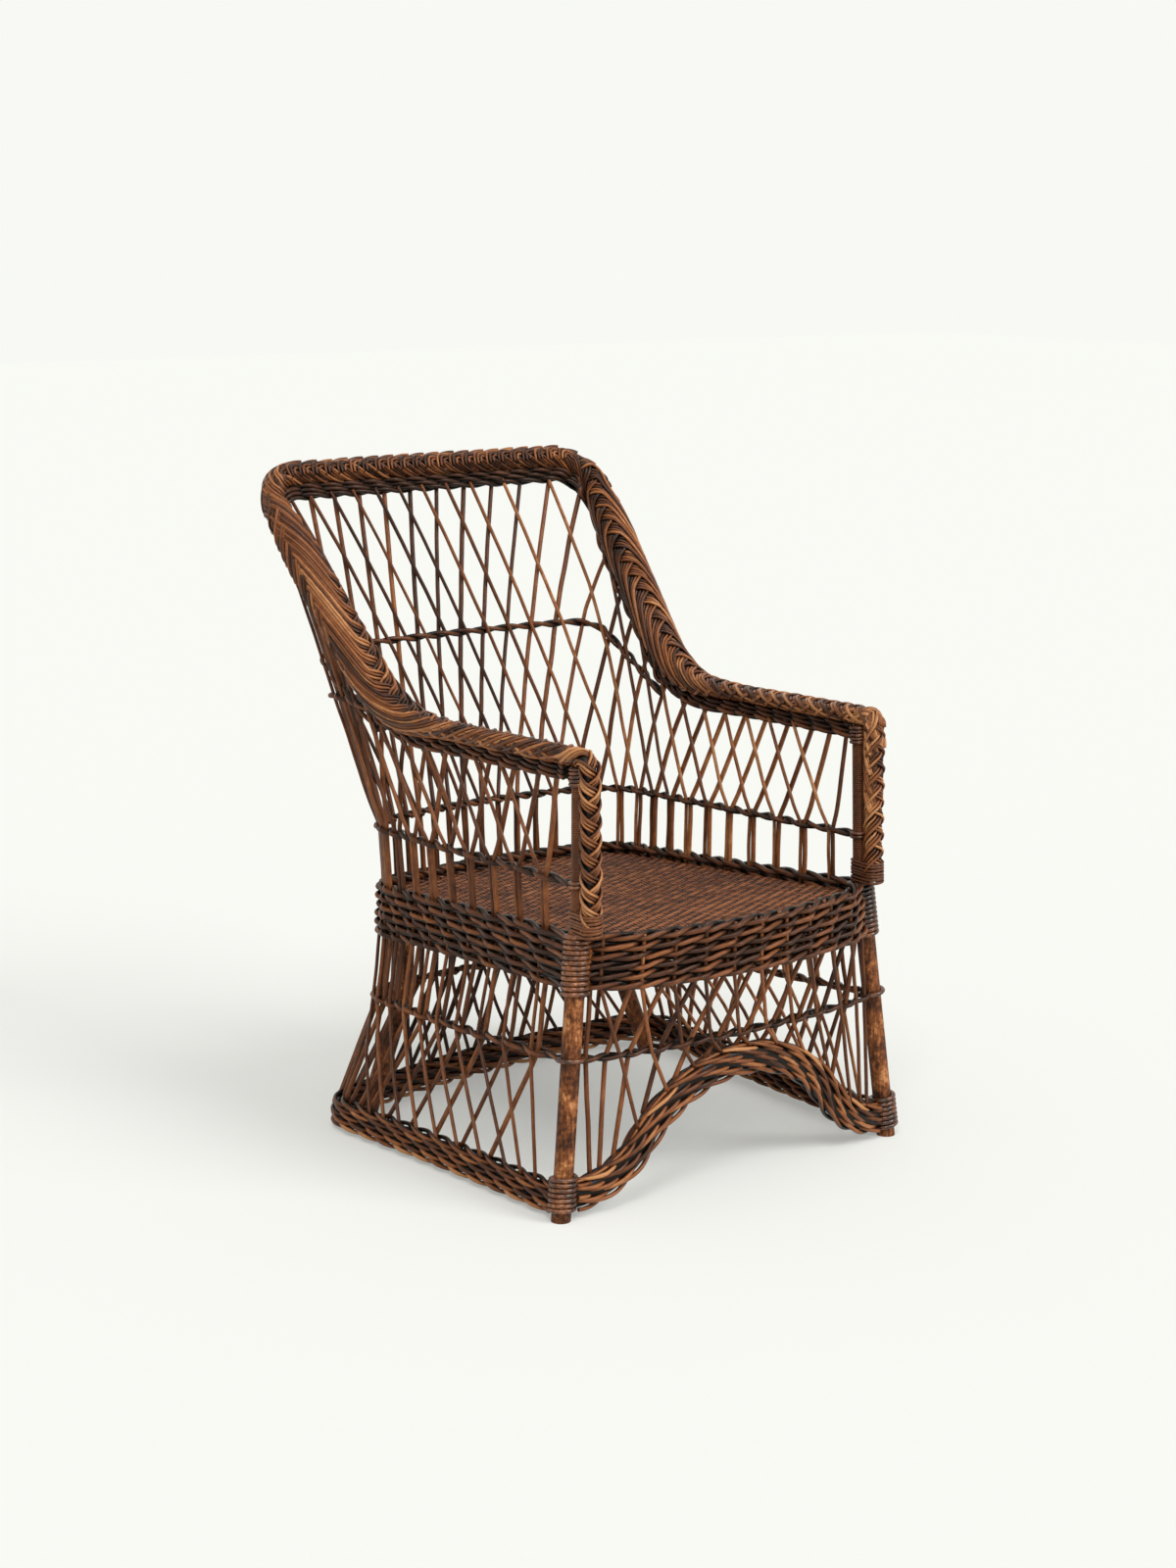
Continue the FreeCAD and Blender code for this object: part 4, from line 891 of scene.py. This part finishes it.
# Each row: height, swing and painted light; the lowest rows are painted lighter.
BORDER_ROWS = (
    (-34.0, 12.5, 0.14), (-25.5, 13.5, 0.06), (-17.0, 12.5, 0.0), (-9.5, 10.5, 0.0), (-3.0, 9.0, 0.0),
)
wale(border, border_line, border_out, border_up, BORDER_ROWS, 42.0, 3.2, 3.6)
# A dark core behind the rows, painted as the shade between them.
border.add(border_line - UP * 20, 9.0, UP, 0.0, 12, 1.7, 0.0)
border.finish(plait_willow, "plait", "left_foot_border", "right_foot_border", "back_foot_border")


def front_stake_path(share, lean, diameter):
    layer = lean * (STAKES_HALF - diameter / 2)
    step = 2 / FRONT_PAIRS
    limits = (-1 + 0.45 * step, 1 - 0.45 * step)
    shift = lean * 0.8 * step
    rail_share = leaned(share, shift, *limits)
    foot_share = leaned(rail_share, shift, *limits)
    nudge = lean * PAIR_HALF / leg_axis(RIGHT, BAND_LOW)[0]

    def at(place, height, bow):
        x = place * leg_axis(RIGHT, height)[0]
        return front_point(x, height, bow, layer) + [0, float(bend_in(x, height, bow)), 0]

    rail = at(rail_share, SKIRT_HEIGHT, SKIRT_BOW)
    drop = SKIRT_HEIGHT - ARCH_FOOT
    slope = (foot_share - rail_share) * leg_axis(RIGHT, STAKES_SPAN_HEIGHT)[0] / drop
    end = rail.copy()
    for _ in range(30):
        end[0] = rail[0] + slope * (rail[2] - end[2]) * drop / max(rail[2] - float(arch_height(end[0])), 1)
        tilt = float(arch_height(end[0] + 1) - arch_height(end[0] - 1)) / 2
        end[2] = float(arch_height(end[0])) + 20 * math.sqrt(1 + tilt**2)
    end[1] = arch_point(end[0])[1] - layer
    points = [at(share + nudge, height, BAND_BOW) for height in (BAND_HIGH + 3, BAND_LOW)] + [rail, end]
    return spaced(rounded(points, [STAKE_BEND] * 3), STAKE_GAP)


front_lattice = Rods("front_lattice")
for share in front_places:
    for lean in (1, -1):
        diameter = FINE if lean == 1 else STOUT
        path = waver(front_stake_path(share, lean, diameter), 0.4)
        front_lattice.add(path, diameter / 2, np.array([0, -lean, 0.0]), 0.5, 10, face=ALIKE_ALL_ROUND)
# The front stakes take the lighter copy of willow, painted as the light on them.
front_lattice.finish(lit_stake_willow, "willow", "front_stakes")

# Plaited rim with the plaits down the arm posts, as one run

PLAIT_LOW, PLAIT_AWAY = 393.0, BINDING_RADIUS + 14.0


def plait_line(side):
    top, low = post_axis(side, ARM_HEIGHT), post_axis(side, PLAIT_LOW)
    points = [
        [low[0], low[1] - PLAIT_AWAY, PLAIT_LOW],
        [side * ARM_END_HALF, top[1] - PLAIT_AWAY, ARM_HEIGHT],
        [side * ARM_END_HALF, 13.5, ARM_HEIGHT],
    ]
    return rounded(points, [14])


rim_u = rim.place(np.linspace(0, 1, 900))
left_plait, right_plait = plait_line(LEFT), plait_line(RIGHT)[::-1]
whole = np.concatenate([left_plait, rim.at(rim_u), right_plait])
whole_out = np.concatenate([
    np.broadcast_to([-1.0, 0, 0], left_plait.shape),
    rim_frame(rim_u)[2],
    np.broadcast_to([1.0, 0, 0], right_plait.shape),
])
rim_run = rim.run(rim_u) * rim.length
widen = smooth(np.minimum(rim_run, rim.length - rim_run) / 70)
POST_HALF_OUT, POST_HALF_UP = 14.0, 11.0
half_out = np.concatenate([
    np.full(len(left_plait), POST_HALF_OUT),
    POST_HALF_OUT + (rim.half_width(rim_u) - POST_HALF_OUT) * widen,
    np.full(len(right_plait), POST_HALF_OUT),
])
half_up = np.concatenate([
    np.full(len(left_plait), POST_HALF_UP),
    POST_HALF_UP + (rim.half_height(rim_u) - POST_HALF_UP) * widen,
    np.full(len(right_plait), POST_HALF_UP),
])
ridge = np.concatenate([np.zeros(len(left_plait)), rim.ridge(rim_u), np.zeros(len(right_plait))])
run = lengths(whole)
places = np.linspace(0, run[-1], int(run[-1] / GAP))
path = at_lengths(whole, places)
out = unit(np.stack([np.interp(places, run, whole_out[:, axis]) for axis in range(3)], axis=1))
along = unit(np.gradient(path, axis=0))
up = unit(np.cross(along, out))
out = unit(np.cross(up, along))
half_out, half_up, ridge = (np.interp(places, run, values) for values in (half_out, half_up, ridge))
post_length = run[len(left_plait) - 1]
on_post = (places < post_length + 30) | (places > run[-1] - post_length - 30)
# The plaits down the posts and the lower part of the rim are painted lighter.
glow = np.where(on_post, 0.3, 0.08 * (1 - smooth((path[:, 2] - 640) / 260)))
spine = Spine(places, path, out, up, half_out, half_up, ridge, glow)
back_spine = Spine(places, path, out, up, half_out, half_up, ridge + math.pi, glow)
left_end = run[len(left_plait)] + rim.run(1) * rim.length
right_end = run[-1] - left_end
RIM_PITCH, RIM_ROD, RIM_FLANKS = 28.0, 2.6, ((4, (64, 15), 56), (4, (44, 17), 48))
POST_PITCH, POST_ROD, POST_FLANKS = 24.0, 2.25, ((3, (58, 30), 30), (3, (46, 28), 30))
CREST_PITCH, CREST_ROD, CREST_FLANK = 23.0, 2.2, (4, (32, 17), 40)
CREST_LOOPS = (16.0, 11.0, 6.0)
BACK_FLANK = (4, (40, 24), 28)
CORE_INSET = 4.6


def plait(rods, along, first, last, pitch, radius, flanks):
    """Bundles of rods on the outer and the inner flank of a ridge."""
    for side, flank in zip((1, -1), flanks):
        herringbone(rods, along, first, last, pitch, side, radius, flank)


for name, first, last, nodes in (
    ("left_rim_plait", post_length, left_end, ("left_arm_plait", "left_rim_braid")),
    ("crest_plait", left_end, right_end, ("back_rim_braid",)),
    ("right_rim_plait", right_end, run[-1] - post_length, ("right_rim_braid", "right_arm_plait")),
):
    rods = Rods(name)
    low, high = first, last
    if name == "left_rim_plait":
        plait(rods, spine, -4 * POST_PITCH, post_length, POST_PITCH, POST_ROD, POST_FLANKS)
        low = 0
    if name == "right_rim_plait":
        plait(rods, spine, last, run[-1], POST_PITCH, POST_ROD, POST_FLANKS)
        high = run[-1]
    if name == "crest_plait":
        herringbone(rods, spine, first, last, CREST_PITCH, -1, CREST_ROD, CREST_FLANK)
        scallops(rods, spine, first, last, CREST_PITCH, CREST_LOOPS, CREST_ROD + 0.1)
    else:
        plait(rods, spine, first, last, RIM_PITCH, RIM_ROD, RIM_FLANKS)
    plait(rods, back_spine, first, last, RIM_PITCH, RIM_ROD, (BACK_FLANK, BACK_FLANK))
    keep = (places >= low - GAP) & (places <= high + GAP)
    wide, tall = half_out[keep] - CORE_INSET, half_up[keep] - CORE_INSET
    # A dark core under the bundles, painted as the shade in the gaps between them.
    rods.add(path[keep], wide, up[keep], 0.0, 14, tall / wide, 0.0)
    rods.finish(plait_willow, "plait", *nodes)

# Cane wrapping of the arm posts, and the coils round the lower ends of the plaits

WRAP_TURNS, WRAP_RADIUS, WRAP_ENDS = 76, 9.3, (404.0, 615.0)
for side, name in ((LEFT, "left"), (RIGHT, "right")):
    rods = Rods(name + "_cane_wrap")
    low, high = (post_axis(side, height) for height in WRAP_ENDS)
    axis = unit(high - low)
    across = unit(np.cross(axis, [0, 1, 0]))
    angle = np.linspace(0, 2 * math.pi * WRAP_TURNS, WRAP_TURNS * 22)
    radial = np.cos(angle)[:, None] * across + np.sin(angle)[:, None] * np.cross(axis, across)
    line = low + (high - low) * np.linspace(0, 1, len(angle))[:, None] + radial * WRAP_RADIUS
    rods.add(line, 1.42, radial, 0.5, 6, 0.75)
    rods.finish(wrap_cane, "cane_binding", name + "_post_wrap")

TAIL_TURNS, TAIL_ENDS, ROUND_POST, ROUND_PLAIT = 7, (388.0, 420.0), 11.5, 14.0
tail_coils = Rods("plait_tail_coils")
for side in (LEFT, RIGHT):
    angle = np.linspace(0, 2 * math.pi * TAIL_TURNS, TAIL_TURNS * 40)
    toward = np.stack([np.cos(angle), np.sin(angle), 0 * angle], axis=1)
    level = np.linspace(*TAIL_ENDS, len(angle))
    post = np.array([post_axis(side, height) for height in level])
    ahead = post - np.array([0, PLAIT_AWAY, 0])
    post_reach = ROUND_POST + np.sum(post * toward, axis=1)
    plait_reach = ROUND_PLAIT + np.sum(ahead * toward, axis=1)
    on_post = (post_reach > plait_reach)[:, None]
    line = np.where(on_post, post + ROUND_POST * toward, ahead + ROUND_PLAIT * toward)
    line[:, 2] = level + 0.6 * np.sin(angle * 1.3)
    tail_coils.add(line, 2.1, toward, 0.5, 8, 0.8)
tail_coils.finish(wrap_cane, "cane_binding", "plait_bindings")

# Seat weave: a twill of cane

WEFT_PITCH, WARP_PITCH, EDGE_HEIGHT = 4.2, 8.0, 372.0
seat_u = np.linspace(0, 3, 900)
seat_edge = seat_row.at(seat_u) - seat_row.out(seat_u) * (WALL_HALF + 0.5)
nose_x = np.linspace(seat_edge[-1, 0], seat_edge[0, 0], 300)
nose_y = bow_y(nose_x, leg_axis(RIGHT, BAND_HIGH)[0], BAND_BOW, -WALL_HALF - 1.5)
outline = np.concatenate([seat_edge[:, :2], np.stack([nose_x, nose_y], axis=1)])


def inside_range(axis, level):
    """Where a line across the seat enters and leaves its outline."""
    first, second = outline[:, axis], outline[:, 1 - axis]
    after, other = np.roll(first, -1), np.roll(second, -1)
    hit = (first - level) * (after - level) < 0
    share = (level - first[hit]) / (after[hit] - first[hit])
    crossings = second[hit] + (other[hit] - second[hit]) * share
    return (crossings.min(), crossings.max()) if len(crossings) > 1 else None


def clear_of_legs(points):
    for side in (LEFT, RIGHT):
        leg = leg_axis(side, EDGE_HEIGHT)[:2]
        points = points[np.linalg.norm(points[:, :2] - leg, axis=1) > COIL_RADIUS + 1.5]
    return points


low_corner, high_corner = outline.min(axis=0), outline.max(axis=0)
pitches = np.array([WARP_PITCH, WEFT_PITCH])
for axis, name, radius, flat, painted_light in ((1, "seat_weft", 1.9, 0.75, 0.4), (0, "seat_warp", 3.7, 0.3, 0.05)):
    rods = Rods(name)
    count = int((high_corner[axis] - low_corner[axis]) / pitches[axis])
    for index in range(count + 1):
        level = low_corner[axis] + pitches[axis] * (index + 0.5)
        ends = inside_range(axis, level)
        if ends is None or ends[1] - ends[0] < 12:
            continue
        along = np.arange(ends[0], ends[1], 4.0)
        flat_points = np.stack([along, np.full_like(along, level)], axis=1)
        flat_points = flat_points if axis == 1 else flat_points[:, ::-1]
        flat_points = clear_of_legs(flat_points)
        if len(flat_points) < 4:
            continue
        along = flat_points[:, 1 - axis]
        crossing = (flat_points - low_corner) / pitches - 0.5
        wave = np.sin(math.pi / 2 * (crossing[:, 0] - crossing[:, 1]) + math.pi / 4)
        swing = np.clip(1.5 * (wave if axis == 1 else -wave), -1, 1)
        flat_points = flat_points + 0.5 * np.sin(along[:, None] / 37 + rng.random(2) * 6) * (axis == 1)
        z = SEAT_HEIGHT - SEAT_SLOPE * flat_points[:, 1] - 3.2 + (1.5 if axis == 1 else 0.8) * swing
        # Each rod is painted lighter where it rises over a crossing and darker, as shade, where it dips
        # under; the weft carries more painted light than the warp.
        rods.add(np.column_stack([flat_points, z]), radius, UP, painted_light + 0.4 * swing, 5, flat)
    rods.finish(seat_cane, "seat_weave", *(("seat_panel",) if axis == 1 else ()))

# Materials of the solids that stay in view

solid_materials = {
    leg_bark: ("front_left_leg", "front_right_leg", "back_left_leg", "back_right_leg"),
    frame_wood: (
        "front_seat_rail", "back_seat_rail", "left_seat_rail", "right_seat_rail", "seat_bearers",
        "left_arm_post", "right_arm_post",
    ),
    coil_cane: ("seat_coils", "foot_coils", "skirt_rings", "arm_bindings", "rail_bindings"),
    nail_iron: ("frame_nails",),
}
for material, names in solid_materials.items():
    for name in names:
        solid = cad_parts[name]
        solid.data.materials.clear()
        solid.data.materials.append(material)

# Camera, floor and light

CAMERA_PLACE = np.array([-2422.6, -2833.4, 1324.9])
AZIMUTH, ELEVATION = math.radians(-37.228), math.radians(12.738)
SENSOR, FOCAL_PIXELS, SHIFT_PIXELS, LONG_SIDE_PIXELS = 36.0, 2838.8, (10, 58), 1600
camera_data = bpy.data.cameras.new("camera")
camera_data.sensor_width = SENSOR
camera_data.lens = FOCAL_PIXELS / LONG_SIDE_PIXELS * SENSOR
camera_data.shift_x = SHIFT_PIXELS[0] / LONG_SIDE_PIXELS
camera_data.shift_y = SHIFT_PIXELS[1] / LONG_SIDE_PIXELS
camera = bpy.data.objects.new("camera", camera_data)
bpy.context.collection.objects.link(camera)
view_back = Vector((
    math.sin(AZIMUTH) * math.cos(ELEVATION),
    -math.cos(AZIMUTH) * math.cos(ELEVATION),
    math.sin(ELEVATION),
))
view_right = Vector((math.cos(AZIMUTH), math.sin(AZIMUTH), 0))
camera.matrix_world = Matrix.Translation(Vector(metres(CAMERA_PLACE))) @ Matrix(
    (view_right, view_back.cross(view_right), view_back)
).transposed().to_4x4()
bpy.context.scene.camera = camera

PALE = (0.939, 0.947, 0.905, 1)
FLOOR_GLOW, WORLD_LIGHT = 0.34, 0.38


def seen_rays(tree):
    """1 for the camera's own rays and for those that reach it by gloss or glass, else 0."""
    path = tree.nodes.new("ShaderNodeLightPath")
    seen = maths(tree, "MAXIMUM", path.outputs["Is Camera Ray"], path.outputs["Is Glossy Ray"])
    return maths(tree, "MAXIMUM", seen, path.outputs["Is Transmission Ray"])


floor_mesh = bpy.data.meshes.new("floor")
floor_mesh.from_pydata([(-20, -20, 0), (20, -20, 0), (20, 20, 0), (-20, 20, 0)], [], [(0, 1, 2, 3)])
floor = bpy.data.objects.new("floor", floor_mesh)
bpy.context.collection.objects.link(floor)
floor_material, floor_tree, floor_shader = new_material("floor_white")
floor_shader.inputs["Base Color"].default_value = (0.862, 0.868, 0.832, 1)
floor_shader.inputs["Roughness"].default_value = 1.0
floor_shader.inputs["Specular IOR Level"].default_value = 0.0
floor_glow = add_node(floor_tree, "ShaderNodeEmission", Color=PALE)
floor_mix = floor_tree.nodes.new("ShaderNodeMixShader")
floor_seen = maths(floor_tree, "MULTIPLY", seen_rays(floor_tree), FLOOR_GLOW)
floor_tree.links.new(floor_seen, floor_mix.inputs[0])
floor_tree.links.new(floor_shader.outputs[0], floor_mix.inputs[1])
floor_tree.links.new(floor_glow.outputs[0], floor_mix.inputs[2])
floor_tree.links.new(floor_mix.outputs[0], floor_tree.nodes["Material Output"].inputs["Surface"])
floor_mesh.materials.append(floor_material)

world = bpy.data.worlds.new("studio")
world.use_nodes = True
bpy.context.scene.world = world
world_tree = world.node_tree
background = world_tree.nodes["Background"]
added = maths(world_tree, "MULTIPLY", seen_rays(world_tree), 1.0 - WORLD_LIGHT)
strength = maths(world_tree, "ADD", added, WORLD_LIGHT)
world_tree.links.new(strength, background.inputs["Strength"])
background.inputs["Color"].default_value = PALE


def sun_light(name, azimuth, elevation, level, spread):
    """A soft sun that lights level ground by a share of full white."""
    data = bpy.data.lights.new(name, "SUN")
    azimuth, elevation = math.radians(azimuth), math.radians(elevation)
    data.energy = level * math.pi / math.sin(elevation)
    data.angle = math.radians(spread)
    lamp = bpy.data.objects.new(name, data)
    toward = Vector((
        math.cos(elevation) * math.sin(azimuth),
        -math.cos(elevation) * math.cos(azimuth),
        math.sin(elevation),
    ))
    lamp.rotation_euler = toward.to_track_quat("Z", "Y").to_euler()
    bpy.context.collection.objects.link(lamp)


sun_light("key", -45, 52, 0.23, 18)
sun_light("fill", 24, 37, 0.36, 30)
sun_light("top", -40, 80, 0.16, 50)

bpy.context.scene.view_settings.view_transform = "Standard"
